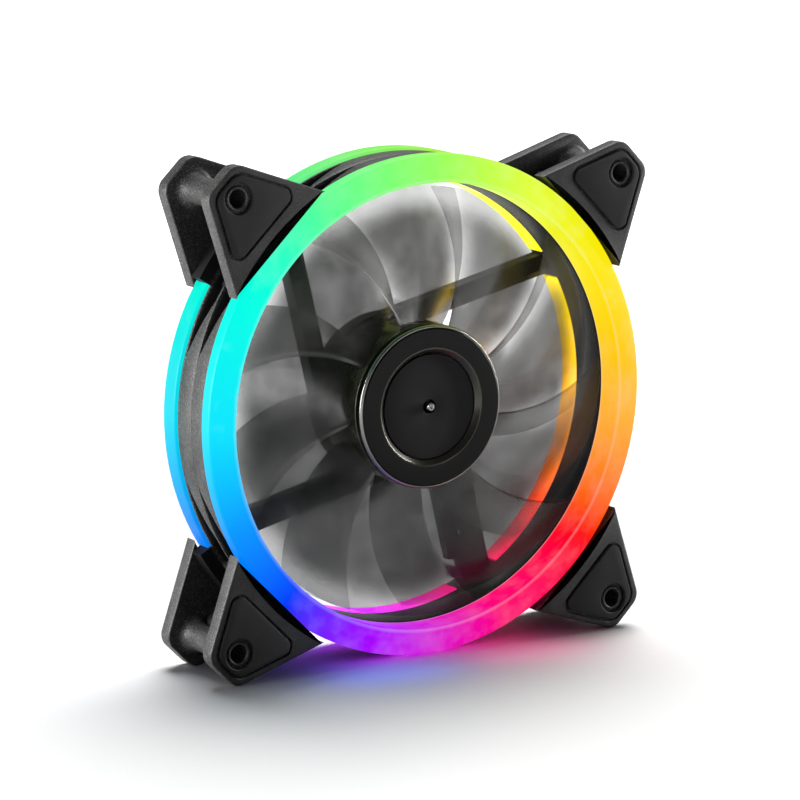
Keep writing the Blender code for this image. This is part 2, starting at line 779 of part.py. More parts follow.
def add_stator():
    steel = make_material("stator_steel", (0.35, 0.35, 0.36), 0.4, 1.0)
    nylon = make_material("insulator_nylon", (0.75, 0.73, 0.66), 0.5)
    copper = make_material("coil_copper", (0.72, 0.32, 0.14), 0.3, 1.0)
    bore = TUBE_OUTER + GAP
    core_front, core_rear = CORE_ENDS
    stack_front = core_front - GAP - INSULATOR_THICKNESS
    stack_rear = core_rear + GAP + INSULATOR_THICKNESS
    layers = (
        ("stator_core", core_front, core_rear, steel, SHOE_HALF_ANGLE),
        ("stator_insulator_front", stack_front, core_front - GAP, nylon, INSULATOR_HALF_ANGLE),
        ("stator_insulator_rear", core_rear + GAP, stack_rear, nylon, INSULATOR_HALF_ANGLE),
    )
    for name, front, rear, material, tip in layers:
        outline = pole_outline(STATOR_BODY_RADIUS, ARM_HALF_WIDTH, SHOE_RADIUS, tip)
        piece = make_object(name, extruded(outline, front, rear), material)
        profile = [
            (0, front - 1 * MM),
            (bore, front - 1 * MM),
            (bore, rear + 1 * MM),
            (0, rear + 1 * MM),
        ]
        combine(piece, "DIFFERENCE", [make_object("stator_bore", turned(profile, SMALL_SIDES))])
    beyond = (COIL_REACH[0] - 1 * MM, COIL_REACH[1] + 1 * MM)
    sides = (-COIL_HALF_WIDTH, COIL_HALF_WIDTH)
    clear_sides = (-ARM_HALF_WIDTH - GAP, ARM_HALF_WIDTH + GAP)
    for number in range(4):
        angle = number * math.pi / 2
        winding = block(angle, COIL_REACH, sides, *COIL_ENDS)
        coil = make_object(f"stator_coil_{number + 1}", winding, copper)
        opening = block(angle, beyond, clear_sides, stack_front - GAP, stack_rear + GAP)
        combine(coil, "DIFFERENCE", [make_object("coil_opening", opening)])


def add_circuit_board():
    green = make_material("circuit_board", (0.03, 0.16, 0.07), 0.4)
    black = make_material("chip_plastic", (0.02, 0.02, 0.02), 0.4)
    silver = make_material("pin_tin", (0.7, 0.7, 0.7), 0.3, 1.0)
    tan = make_material("capacitor_ceramic", (0.55, 0.4, 0.25), 0.5)
    front, rear = BOARD_ENDS
    bore = TUBE_OUTER + GAP
    board = [(bore, front), (BOARD_RADIUS, front), (BOARD_RADIUS, rear), (bore, rear)]
    make_object("motor_circuit_board", turned(board, HUB_SIDES), green)
    for name, degrees, near, far, half_width, height in BOARD_PARTS:
        body = block(
            math.radians(degrees),
            (near, far),
            (-half_width, half_width),
            front - GAP - height,
            front - GAP,
        )
        make_object(name, body, tan if name.startswith("capacitor") else black)
    pin_front, pin_rear = PIN_ENDS
    pin = [(0, pin_front), (PIN_RADIUS, pin_front), (PIN_RADIUS, pin_rear), (0, pin_rear)]
    for number in range(4):
        centre = on_circle(PIN_CIRCLE_RADIUS, math.pi / 4 + math.pi / 2 * number)
        make_object(f"terminal_pin_{number + 1}", turned(pin, PIN_SIDES, centre), silver)


def add_rear_label():
    paper = make_material("rear_label_film", (0.05, 0.05, 0.055), 0.45)
    radius = LABEL_RECESS_RADIUS - GAP
    front, rear = LABEL_RECESS_FLOOR + GAP, BASE_REAR
    profile = [(0, front), (radius, front), (radius, rear), (0, rear)]
    make_object("rear_label", turned(profile, HUB_SIDES), paper)


# ------------------------------------------------------------------ the rotor


def blade_section(share):
    """The closed outline of one blade at a share of the way from root to tip."""
    radius = BLADE_ROOT_RADIUS + (BLADE_TIP_RADIUS - BLADE_ROOT_RADIUS) * share
    span = BLADE_SPAN_ROOT + (BLADE_SPAN_TIP - BLADE_SPAN_ROOT) * share
    lead = BLADE_SWEEP * share**1.4 + span / 2
    depth = BLADE_REAR - BLADE_FRONT - BLADE_THICKNESS
    depth_here = depth * (1 - BLADE_TAPER * share)
    near_side, far_side = [], []
    for column in range(BLADE_COLUMNS + 1):
        chord = column / BLADE_COLUMNS
        angle = lead - span * chord
        bend = BLADE_BEND * math.sin(math.pi * chord)
        middle = BLADE_FRONT + BLADE_THICKNESS / 2 + (depth - depth_here) / 2
        y = middle + depth_here * chord - bend
        pitch = math.atan2(depth_here, span * radius)
        half = BLADE_THICKNESS / 2 * (0.55 + 0.45 * math.sin(math.pi * chord))
        shift = half * math.sin(pitch) / radius
        rise = half * math.cos(pitch)
        near_side.append((angle - shift, y - rise))
        far_side.append((angle + shift, y + rise))
    points = []
    for angle, y in near_side + far_side[::-1]:
        points.append((radius * math.cos(angle), y, radius * math.sin(angle)))
    return points


def add_impeller():
    smoke = make_material("impeller_plastic", (0.25, 0.25, 0.25), 0.15, clear=0.7)
    profile = [
        (3.0 * MM, HUB_FRONT),
        (HUB_RADIUS, HUB_FRONT),
        (HUB_RADIUS, HUB_REAR),
        (HUB_WALL_INNER, HUB_REAR),
        (HUB_WALL_INNER, HUB_WEB_REAR),
        (3.0 * MM, HUB_WEB_REAR),
    ]
    hub = make_object("impeller", turned(profile, HUB_SIDES), smoke, "rotor_axis")
    blades = []
    for number in range(BLADE_COUNT):
        sections = [blade_section(row / BLADE_ROWS) for row in range(BLADE_ROWS + 1)]
        blade = make_object("blade", bridged(sections), axis="rotor_axis")
        blade.rotation_euler.y = -2 * math.pi * number / BLADE_COUNT
        blades.append(blade)
    combine(hub, "UNION", blades, solver="MANIFOLD")


def add_hub_parts():
    gloss = make_material("hub_cap_plastic", (0.012, 0.012, 0.012), 0.12)
    film = make_material("hub_label_film", (0.02, 0.02, 0.02), 0.6)
    steel = make_material("yoke_steel", (0.45, 0.44, 0.42), 0.3, 1.0)
    ferrite = make_material("magnet_ferrite", (0.06, 0.055, 0.05), 0.6)
    polished = make_material("shaft_steel", (0.75, 0.75, 0.76), 0.15, 1.0)
    cap = [
        (SHAFT_HOLE_RADIUS, LABEL_FLOOR),
        (CAP_RECESS_RADIUS, LABEL_FLOOR),
        (CAP_RECESS_RADIUS, CAP_RECESS_EDGE),
        (CAP_SLOPE_RADIUS, CAP_FACE),
        (HUB_RADIUS - CAP_CHAMFER, CAP_FACE),
        (HUB_RADIUS, CAP_FACE + CAP_CHAMFER),
        (HUB_RADIUS, CAP_BACK),
        (SHAFT_HOLE_RADIUS, CAP_BACK),
    ]
    label = [
        (SHAFT_HOLE_RADIUS, LABEL_FLOOR - GAP),
        (LABEL_RADIUS, LABEL_FLOOR - GAP),
        (LABEL_RADIUS, LABEL_FACE),
        (SHAFT_HOLE_RADIUS, LABEL_FACE),
    ]
    yoke_outer = HUB_WALL_INNER - GAP
    yoke_inner = yoke_outer - YOKE_WALL
    yoke_bore = SHAFT_RADIUS + GAP
    yoke_front, yoke_rear = YOKE_ENDS
    yoke = [
        (yoke_bore, yoke_front),
        (yoke_outer, yoke_front),
        (yoke_outer, yoke_rear),
        (yoke_inner, yoke_rear),
        (yoke_inner, yoke_front + YOKE_WALL),
        (YOKE_BOSS_RADIUS, yoke_front + YOKE_WALL),
        (YOKE_BOSS_RADIUS, YOKE_BOSS_REAR),
        (yoke_bore, YOKE_BOSS_REAR),
    ]
    magnet_front, magnet_rear = MAGNET_ENDS
    magnet = [
        (MAGNET_INNER, magnet_front),
        (yoke_inner - GAP, magnet_front),
        (yoke_inner - GAP, magnet_rear),
        (MAGNET_INNER, magnet_rear),
    ]
    tip, end = SHAFT_ENDS
    groove_front, groove_rear = GROOVE_ENDS
    shaft = [
        (0, tip),
        (SHAFT_TIP_RADIUS, tip),
        (SHAFT_RADIUS, tip + SHAFT_TIP_LENGTH),
        (SHAFT_RADIUS, groove_front),
        (GROOVE_RADIUS, groove_front),
        (GROOVE_RADIUS, groove_rear),
        (SHAFT_RADIUS, groove_rear),
        (SHAFT_RADIUS, end - 0.1 * MM),
        (0, end),
    ]
    make_object("hub_cap", turned(cap, HUB_SIDES), gloss, "rotor_axis")
    make_object("hub_label", turned(label, HUB_SIDES), film, "rotor_axis")
    make_object("rotor_yoke", turned(yoke, HUB_SIDES), steel, "rotor_axis")
    make_object("magnet_ring", turned(magnet, HUB_SIDES), ferrite, "rotor_axis")
    make_object("shaft", turned(shaft, SMALL_SIDES), polished, "rotor_axis")
    turn = 2 * math.pi
    clip_outline = arc((0, 0), CLIP_RADIUS, CLIP_OPENING, turn - CLIP_OPENING, 12)
    inner = GROOVE_RADIUS + GAP - 0.05 * MM
    clip_outline += arc((0, 0), inner, turn - CLIP_OPENING, CLIP_OPENING, 12)
    clip = extruded(clip_outline, *CLIP_ENDS)
    make_object("retaining_clip", clip, polished, "rotor_axis")


clear_scene()
add_axis("fan_axis")
add_axis("rotor_axis")
add_frame()
add_light_rings()
add_led_strips()
add_corner_pads()
add_bearing()
add_stator()
add_circuit_board()
add_rear_label()
add_impeller()
add_hub_parts()
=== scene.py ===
"""The looks of a 120 mm case fan with a light ring on each side.

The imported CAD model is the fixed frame. Detailed pieces are built round the fan's axis, in
metres and in the frame's own coordinates, so that a material can read a piece's object
coordinates as places.
"""

import math

import bmesh
import bpy
from mathutils import Matrix, Vector


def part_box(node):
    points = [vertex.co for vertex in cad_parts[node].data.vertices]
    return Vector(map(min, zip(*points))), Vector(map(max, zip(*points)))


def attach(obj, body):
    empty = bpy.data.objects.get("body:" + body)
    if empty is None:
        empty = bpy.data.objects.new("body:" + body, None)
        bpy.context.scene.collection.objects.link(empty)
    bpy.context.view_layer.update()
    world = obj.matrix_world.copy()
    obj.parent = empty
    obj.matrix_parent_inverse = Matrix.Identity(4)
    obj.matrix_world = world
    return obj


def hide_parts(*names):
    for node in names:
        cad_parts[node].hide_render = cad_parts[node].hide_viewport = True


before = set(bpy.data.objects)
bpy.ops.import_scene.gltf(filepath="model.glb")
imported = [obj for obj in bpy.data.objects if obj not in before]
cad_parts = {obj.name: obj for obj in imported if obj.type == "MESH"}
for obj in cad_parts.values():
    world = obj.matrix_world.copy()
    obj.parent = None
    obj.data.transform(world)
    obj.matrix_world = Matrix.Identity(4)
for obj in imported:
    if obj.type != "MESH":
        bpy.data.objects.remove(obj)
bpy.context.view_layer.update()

MM = 0.001


def half_width(node):
    low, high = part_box(node)
    return (high.x - low.x) / 2


def depths(node):
    """A node's nearest and furthest y, as seen from the front."""
    low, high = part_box(node)
    return low.y, high.y


# ---------------- sizes read from the CAD frame

FRAME_LOW, FRAME_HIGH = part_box("frame")
AXIS_Z = (FRAME_LOW.z + FRAME_HIGH.z) / 2
HALF_SIZE = (FRAME_HIGH.z - FRAME_LOW.z) / 2
EAR_FACE = FRAME_HIGH.y
PAD_BACK, PAD_FACE = depths("rear_pad_upper_left")
RING_OUTER = half_width("front_light_ring")
FRONT_RING_FACE, FRONT_RING_REAR = depths("front_light_ring")
REAR_RING_FRONT, REAR_RING_FACE = depths("rear_light_ring")
HUB_RADIUS = half_width("hub_cap")
HUB_REAR = depths("impeller")[1]
CAP_FACE, CAP_BACK = depths("hub_cap")
LABEL_RADIUS = half_width("hub_label")
LABEL_FACE, LABEL_BACK = depths("hub_label")
SHAFT_RADIUS = half_width("shaft")
SHAFT_TIP, SHAFT_END = depths("shaft")
BLADE_TIP_RADIUS = half_width("impeller")
REAR_LABEL_RADIUS = half_width("rear_label")
REAR_LABEL_FRONT, REAR_LABEL_FACE = depths("rear_label")

# ---------------- sizes of the mouldings

GAP = 0.3 * MM
OVERLAP = 0.4 * MM
CUT_PAST = 1 * MM
DUCT_RADIUS = 53.0 * MM
SHOULDER_RADIUS = 54.6 * MM
BAND_RADIUS = 59 * MM
BAND_FRONT = -7.1 * MM
BAND_REAR = 5.1 * MM
DUCT_FRONT = -4.4 * MM
DUCT_REAR = 5.6 * MM
POCKET_FLOOR = 55.6 * MM
POCKET_START = math.radians(14.6)
POCKET_TAPER = math.radians(14)
POCKET_WIDTH = 4.9 * MM
POCKET_SLIT = 0.06 * MM
POCKET_REARS = (-1.4 * MM, 4.3 * MM)
EAR_BACK = 8.2 * MM
SCREW_OFFSET = 52.5 * MM
SCREW_HOLE_RADIUS = 2.15 * MM
COLLAR_RADIUS = 2.9 * MM
COLLAR_FACE = 12.0 * MM
COLLAR_EDGE = 0.25 * MM
POST_RADIUS = 3.3 * MM
POST_FLARE = 1.9 * MM
EAR_ARC_RADIUS = 60.8 * MM
EAR_ARC_START = math.radians(30.2)
EAR_TIP = (52.8 * MM, 29.8 * MM)
EAR_CORNER_RADIUS = 3.8 * MM
EAR_CORNER = (HALF_SIZE - EAR_CORNER_RADIUS, 52.2 * MM)
EAR_SLANT = math.radians(-18.2)
EAR_BEVEL = 0.4 * MM
ROOT_OUTER_RADIUS = 62.6 * MM
FLANGE = 0.8 * MM
GUSSET_THICKNESS = 1.6 * MM
PAD_GROOVE = 0.6 * MM
PAD_HOLE_RADIUS = 3.6 * MM
PAD_OUTLINE = (
    (39.0 * MM, 51.6 * MM),
    (51.6 * MM, 39.0 * MM),
    (53.9 * MM, 39.6 * MM),
    (57.9 * MM, 51.9 * MM),
    (57.3 * MM, 53.8 * MM),
    (53.8 * MM, 57.3 * MM),
    (51.9 * MM, 57.9 * MM),
    (39.6 * MM, 53.9 * MM),
)
PAD_CORNER_RADIUS = 0.9 * MM
PAD_BEVEL = 0.22 * MM
PAD_HOLE_LIP = 0.2 * MM
RECESS_CORNER_RADIUS = 1.2 * MM
RECESS_FLARE = 0.18 * MM
BASE_RADIUS = 20 * MM
BASE_RIM_INNER = 18.3 * MM
BASE_RIM_FRONT = 8.2 * MM
BASE_FRONT = 9.4 * MM
BASE_REAR = 12.2 * MM
LABEL_RECESS_RADIUS = 16.2 * MM
LABEL_RECESS_FLOOR = 11.7 * MM
TUBE_INNER = 3.0 * MM
TUBE_OUTER = 4.3 * MM
TUBE_FRONT = -4.2 * MM
STRUT_FRONT = 7.4 * MM
STRUT_REAR = 11.8 * MM
STRUT_DIRECTION = math.radians(14)
STRUT_OFFSETS = (14.0 * MM, 19.6 * MM)
STRUT_CHAMFER = 1.8 * MM
CABLE_STRUT = 1
CABLE_STRUT_OFFSETS = (7.2 * MM, 17.4 * MM)
CABLE_CHANNEL_WALL = 1.2 * MM
CABLE_CHANNEL_FLOOR = 9.0 * MM
CABLE_CHANNEL_REACH = (16.5 * MM, 49.5 * MM)
TIE_SLOT_REACH, TIE_SLOT_SIDES = (39.0 * MM, 40.6 * MM), (10.4 * MM, 11.6 * MM)
LEAD_INLET_REACH, LEAD_INLET_SIDES = (11.0 * MM, 17.0 * MM), (10.5 * MM, 14.5 * MM)
HOOK_REACH, HOOK_SIDES = (46.2 * MM, 48.4 * MM), (4.9 * MM, 8.5 * MM)
FOOT_INNER = 53.25 * MM
FOOT_OUTER = 54.4 * MM
FOOT_FRONT = 4.2 * MM
FOOT_MARGIN = math.radians(0.8)
NOTCH_MARGIN = math.radians(0.5)
RING_WALL = 1.4 * MM
RING_CROWN = 0.18 * MM
FRONT_RING_OUTER_END = 7.4 * MM
FRONT_RING_OUTER_LIP = 11.1 * MM
REAR_RING_INNER_END = 5.9 * MM
REAR_RING_OUTER_LIP = 10.9 * MM
HUB_FRONT = -8.6 * MM
HUB_WEB_REAR = -7.6 * MM
HUB_BORE = 3.0 * MM
HUB_WALL_INNER = 18.0 * MM
CAP_BORE = 1.7 * MM
CLIP_GROOVE_RADIUS = 0.75 * MM
CLIP_GROOVE_FRONT = 8.2 * MM
CLIP_GROOVE_REAR = 9.0 * MM
BLADE_COUNT = 9
BLADE_ROOT_RADIUS = 18.8 * MM
BLADE_FRONT_EDGE = -8.0 * MM
BLADE_REAR = 5.9 * MM
BLADE_SPAN_ROOT = math.radians(58)
BLADE_SPAN_TIP = math.radians(56)
BLADE_SWEEP = math.radians(20)
BLADE_THICKNESS = 1.5 * MM
BLADE_BOW = 1.4 * MM
BLADE_EDGE_SHARE = 0.02

ROUND_SIDES = 240
HUB_SIDES = 144
SMALL_SIDES = 48
BAND_STEPS = 480
BLADE_ROWS = 22
BLADE_COLUMNS = 18
PLATE_EDGE_STEPS = 3
SMOOTH_ANGLE = math.radians(34)
NEARLY_STRAIGHT = math.radians(172)
LONGEST_ROUND = 0.42
SHORTEST_ROUND = 0.001 * MM

# ---------------- mesh helpers


def soften(mesh):
    mesh.shade_smooth()
    mesh.set_sharp_from_angle(angle=SMOOTH_ANGLE)


def finish_mesh(name, builder):
    mesh = bpy.data.meshes.new(name)
    bmesh.ops.recalc_face_normals(builder, faces=builder.faces)
    builder.to_mesh(mesh)
    builder.free()
    soften(mesh)
    piece = bpy.data.objects.new(name, mesh)
    bpy.context.scene.collection.objects.link(piece)
    return piece


def on_circle(radius, angle):
    return radius * math.cos(angle), radius * math.sin(angle)


def corners_of(inner, outer, near, far):
    """The four corners of a rectangle in a (radius, y) section."""
    return [(inner, near), (outer, near), (outer, far), (inner, far)]


def arc(centre, radius, start, end, steps):
    points = []
    for step in range(steps + 1):
        x, z = on_circle(radius, start + (end - start) * step / steps)
        points.append((centre[0] + x, centre[1] + z))
    return points


def rounded(points, radius, steps=4, skip=()):
    """A closed outline with each corner replaced by a small arc; skip lists corners kept sharp."""
    result = []
    count = len(points)
    for number in range(count):
        corner = Vector(points[number])
        before = Vector(points[number - 1]) - corner
        after = Vector(points[(number + 1) % count]) - corner
        reach = min(radius, before.length * LONGEST_ROUND, after.length * LONGEST_ROUND)
        turn = before.angle(after)
        if number in skip or reach < SHORTEST_ROUND or turn > NEARLY_STRAIGHT:
            result.append(tuple(corner))
            continue
        start = corner + before.normalized() * reach
        end = corner + after.normalized() * reach
        for step in range(steps + 1):
            share = step / steps
            point = start * (1 - share) ** 2 + corner * 2 * share * (1 - share) + end * share**2
            result.append(tuple(point))
    return result


def loops_to_mesh(builder, loops, closed):
    """Joins neighbouring loops of vertices with quads; closed also joins the last to the first."""
    pairs = list(zip(loops, loops[1:]))
    if closed:
        pairs.append((loops[-1], loops[0]))
    for first, second in pairs:
        size = len(first)
        for step in range(size):
            after = (step + 1) % size
            builder.faces.new((first[step], first[after], second[after], second[step]))


def turned(name, profile, sides):
    """A closed (radius, y) profile, or a function of the angle, turned about the axis."""
    builder = bmesh.new()
    loops = []
    for step in range(sides):
        angle = 2 * math.pi * step / sides
        loop = []
        for radius, y in profile(angle) if callable(profile) else profile:
            x, z = on_circle(radius, angle)
            loop.append(builder.verts.new((x, y, AXIS_Z + z)))
        loops.append(loop)
    loops_to_mesh(builder, loops, True)
    return finish_mesh(name, builder)


def turned_solid(name, profile, sides, centre=(0.0, 0.0)):
    """A (radius, y) profile that starts and ends on a line along Y, turned about that line."""
    builder = bmesh.new()
    loops = []
    for radius, y in profile[1:-1]:
        loop = []
        for step in range(sides):
            x, z = on_circle(radius, 2 * math.pi * step / sides)
            loop.append(builder.verts.new((centre[0] + x, y, AXIS_Z + centre[1] + z)))
        loops.append(loop)
    loops_to_mesh(builder, loops, False)
    for loop, end in ((loops[0], profile[0]), (loops[-1], profile[-1])):
        tip = builder.verts.new((centre[0], end[1], AXIS_Z + centre[1]))
        for step in range(sides):
            builder.faces.new((loop[step], loop[(step + 1) % sides], tip))
    return finish_mesh(name, builder)


def through(name, sections):
    """A closed solid through (x, y, z) sections about the axis, with the same number of points."""
    builder = bmesh.new()
    loops = []
    for section in sections:
        loops.append([builder.verts.new((x, y, AXIS_Z + z)) for x, y, z in section])
    loops_to_mesh(builder, loops, False)
    caps = [builder.faces.new(loops[0]), builder.faces.new(loops[-1])]
    for cap in caps:
        cap.normal_update()
    bmesh.ops.triangulate(builder, faces=caps, ngon_method="EAR_CLIP")
    return finish_mesh(name, builder)


def shrunk(outline, amount):
    """An outline with each side moved inwards by amount; a negative amount moves them outwards."""
    points = [Vector(point) for point in outline]
    count = len(points)
    area = sum(points[step - 1].cross(points[step]) for step in range(count))
    side = 1 if area > 0 else -1
    result = []
    for step, here in enumerate(points):
        before = (here - points[step - 1]).normalized()
        after = (points[(step + 1) % count] - here).normalized()
        normal_before = Vector((-before.y, before.x)) * side
        normal_after = Vector((-after.y, after.x)) * side
        middle = (normal_before + normal_after).normalized()
        stretch = 1 / max(0.5, middle.dot(normal_before))
        result.append(tuple(here + middle * amount * stretch))
    return result


def stacked(name, outline, rows):
    """A closed solid through copies of an outline, each at its y and drawn in by its inset."""
    return through(name, [[(x, y, z) for x, z in shrunk(outline, inset)] for y, inset in rows])


def plate(name, outline, near, far, bevel):
    """An outline drawn from y = near to far, with both rims rounded over by bevel."""
    sign = 1 if far > near else -1
    edge = []
    for step in range(PLATE_EDGE_STEPS + 1):
        turn = math.pi / 2 * step / PLATE_EDGE_STEPS
        edge.append((sign * bevel * (1 - math.cos(turn)), bevel * (1 - math.sin(turn))))
    rows = [(near + depth, inset) for depth, inset in edge]
    rows += [(far - depth, inset) for depth, inset in reversed(edge)]
    return stacked(name, outline, rows)


def flared_cutter(name, outline, floor, mouth, beyond, flare):
    """A cutter that opens out by flare just below the mouth, for a soft rim."""
    sign = 1 if mouth > floor else -1
    rows = ((floor, 0.0), (mouth - sign * flare, 0.0), (mouth, -flare), (beyond, -flare))
    return stacked(name, outline, rows)


def swept(name, profile, start, end, steps):
    """A closed (radius, y) profile carried round the axis from start to end."""
    sections = []
    for step in range(steps + 1):
        angle = start + (end - start) * step / steps
        places = [(*on_circle(radius, angle), y) for radius, y in profile]
        sections.append([(x, y, z) for x, z, y in places])
    return through(name, sections)


def along(direction, distance, offset):
    """The (x, z) point at a distance along a direction, and offset to its left."""
    (x, z), (side_z, side_x) = on_circle(distance, direction), on_circle(offset, direction)
    return x - side_x, z + side_z


def bar(name, direction, distances, offsets, near, far):
    """A box whose length runs along a direction in the XZ plane."""
    corners = corners_of(*distances, *offsets)
    outline = [along(direction, distance, offset) for distance, offset in corners]
    return through(name, [[(x, y, z) for x, z in outline] for y in (near, far)])


def combine(piece, operation, helpers):
    """Joins helpers to a piece, or cuts it with them, and removes the helpers."""
    group = bpy.data.collections.new("helpers")
    bpy.context.scene.collection.children.link(group)
    for helper in helpers:
        group.objects.link(helper)
    modifier = piece.modifiers.new("combine", "BOOLEAN")
    modifier.operation = operation
    modifier.operand_type = "COLLECTION"
    modifier.collection = group
    modifier.solver = "MANIFOLD"
    bpy.context.view_layer.update()
    settled = piece.evaluated_get(bpy.context.evaluated_depsgraph_get())
    mesh = bpy.data.meshes.new_from_object(settled)
    piece.modifiers.clear()
    piece.data = mesh
    for helper in helpers:
        bpy.data.objects.remove(helper)
    bpy.data.collections.remove(group)
    soften(mesh)
    return piece


def mirrored(outline, side_x, side_z):
    return [(x * side_x, z * side_z) for x, z in outline]


CORNERS = {
    "upper_left": (-1, 1),
    "upper_right": (1, 1),
    "lower_left": (-1, -1),
    "lower_right": (1, -1),
}

# ---------------- material helpers


def srgb(*channels):
    """Linear colour from channels of 0 to 1 as a screen shows them."""
    linear = [c / 12.92 if c <= 0.04045 else ((c + 0.055) / 1.055) ** 2.4 for c in channels]
    return (*linear, 1.0)


def grey(level):
    return srgb(level, level, level)


class Nodes:
    """A material's node tree, with short calls for the nodes that the looks use."""

    def __init__(self, name):
        self.material = bpy.data.materials.new(name)
        self.material.use_nodes = True
        self.tree = self.material.node_tree
        self.shader = self.tree.nodes["Principled BSDF"]
        self.place = None

    def add(self, kind, **settings):
        node = self.tree.nodes.new(kind)
        for key, value in settings.items():
            setattr(node, key, value)
        return node

    def link(self, output, socket):
        self.tree.links.new(output, socket)

    def put(self, socket, value):
        if isinstance(value, bpy.types.NodeSocket):
            self.link(value, socket)
        else:
            socket.default_value = value

    def set(self, **values):
        for key, value in values.items():
            self.put(self.shader.inputs[key.replace("_", " ")], value)

    def math(self, operation, *values, clamp=False):
        node = self.add("ShaderNodeMath", operation=operation, use_clamp=clamp)
        for socket, value in zip(node.inputs, values):
            self.put(socket, value)
        return node.outputs[0]

    def times(self, first, *others):
        for other in others:
            first = self.math("MULTIPLY", first, other)
        return first

    def from_axis(self):
        """Object coordinates measured from the fan's axis."""
        if self.place is None:
            shift = self.add("ShaderNodeVectorMath", operation="SUBTRACT")
            self.link(self.add("ShaderNodeTexCoord").outputs["Object"], shift.inputs[0])
            shift.inputs[1].default_value = (0, 0, AXIS_Z)
            self.place = shift.outputs[0]
        return self.place

    def parts(self):
        split = self.add("ShaderNodeSeparateXYZ")
        self.link(self.from_axis(), split.inputs[0])
        return split.outputs

    def length(self, x, y):
        return self.math("SQRT", self.math("ADD", self.times(x, x), self.times(y, y)))

    def radius(self):
        x, _, z = self.parts()
        return self.length(x, z)

    def scaled(self, kind, scale):
        """A texture node over the places round the axis, drawn larger or smaller by scale."""
        mapping = self.add("ShaderNodeMapping")
        mapping.inputs["Scale"].default_value = scale
        self.link(self.from_axis(), mapping.inputs["Vector"])
        node = self.add(kind)
        node.inputs["Scale"].default_value = 1.0
        self.link(mapping.outputs[0], node.inputs["Vector"])
        return node

    def noise(self, size, detail=3.0, rough=0.55, stretch=(1, 1, 1)):
        """Noise whose features are about this many metres across."""
        node = self.scaled("ShaderNodeTexNoise", tuple(s / size for s in stretch))
        node.inputs["Detail"].default_value = detail
        node.inputs["Roughness"].default_value = rough
        return node.outputs["Fac"]

    def cells(self, size):
        return self.scaled("ShaderNodeTexVoronoi", (1 / size,) * 3).outputs["Distance"]

    def remap(self, value, low, high, to_low, to_high, smooth=False):
        node = self.add("ShaderNodeMapRange")
        node.interpolation_type = "SMOOTHSTEP" if smooth else "LINEAR"
        self.put(node.inputs["Value"], value)
        ends = {"From Min": low, "From Max": high, "To Min": to_low, "To Max": to_high}
        for key, number in ends.items():
            node.inputs[key].default_value = number
        return node.outputs[0]

    def spread(self, noise, low, high):
        """From low to high over the part of its range that a noise mostly keeps to."""
        return self.remap(noise, 0.3, 0.7, low, high)

    def window(self, value, rise, fall, height=1.0):
        """A soft-edged stretch: up between the values of rise, and down between those of fall."""
        up = self.remap(value, *rise, 0, 1, True)
        return self.times(up, self.remap(value, *fall, height, 0, True))

    def mix(self, share, first, second):
        node = self.add("ShaderNodeMix", data_type="RGBA")
        self.put(node.inputs["Factor"], share)
        self.put(node.inputs[6], first)
        self.put(node.inputs[7], second)
        return node.outputs[2]

    def mottle(self, noise, first, second):
        return self.mix(self.spread(noise, 0, 1), first, second)

    def ramp(self, share, stops):
        node = self.add("ShaderNodeValToRGB")
        elements = node.color_ramp.elements
        while len(elements) < len(stops):
            elements.new(0.5)
        for element, (position, colour) in zip(elements, stops):
            element.position = position
            element.color = colour
        self.put(node.inputs[0], share)
        return node.outputs[0]

    def bump(self, height, distance, strength):
        node = self.add("ShaderNodeBump")
        node.inputs["Strength"].default_value = strength
        node.inputs["Distance"].default_value = distance
        self.put(node.inputs["Height"], height)
        self.link(node.outputs[0], self.shader.inputs["Normal"])


def give(piece, material):
    piece.data.materials.clear()
    piece.data.materials.append(material)
    for polygon in piece.data.polygons:
        polygon.material_index = 0


def settle(piece, material, body, node=None):
    """Gives a piece its material and body, and hides the CAD node that it stands for."""
    give(piece, material)
    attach(piece, body)
    if node:
        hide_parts(node)


def plain_finish(name, dark, light, rough, metal=0.0, size=1.2 * MM):
    """A general finish with mottled colour, uneven gloss and a fine bump."""
    m = Nodes(name)
    patches = m.noise(size, 4.0, 0.6)
    m.set(Base_Color=m.mottle(patches, dark, light))
    m.set(Roughness=m.spread(patches, max(0.05, rough - 0.07), rough + 0.07))
    m.set(Metallic=metal)
    m.bump(m.noise(size / 4, 3.0), 0.02 * MM, 0.5)
    return m.material


# ---------------- the materials

# The rainbow that the lit rings show, by clock hour as seen from the intake side.
RAINBOW = {
    "cyan": (9.0, (0.0, 0.9, 1.0)),
    "aqua": (10.0, (0.0, 1.0, 0.9)),
    "mint": (11.0, (0.4, 1.0, 0.6)),
    "green": (12.0, (0.6, 1.0, 0.4)),
    "lime": (13.0, (0.9, 1.0, 0.3)),
    "yellow": (14.0, (1.0, 0.9, 0.0)),
    "amber": (15.3, (1.0, 0.7, 0.3)),
    "red": (16.3, (1.0, 0.2, 0.2)),
    "pink": (17.3, (1.0, 0.2, 0.5)),
    "violet": (18.5, (0.7, 0.2, 1.0)),
    "blue": (19.5, (0.0, 0.3, 1.0)),
    "azure": (20.2, (0.0, 0.6, 1.0)),
}


def ring_colour(m):
    """The rainbow, counter-clockwise from -X; cyan, the first colour, also closes it."""
    x, _, z = m.parts()
    share = m.math("MULTIPLY_ADD", m.math("ARCTAN2", z, x), 1 / (2 * math.pi), 0.5)
    stops = sorted(((9 - hour) % 12 / 12, srgb(*colour)) for hour, colour in RAINBOW.values())
    stops.append((1.0, stops[0][1]))
    return m.ramp(share, stops)


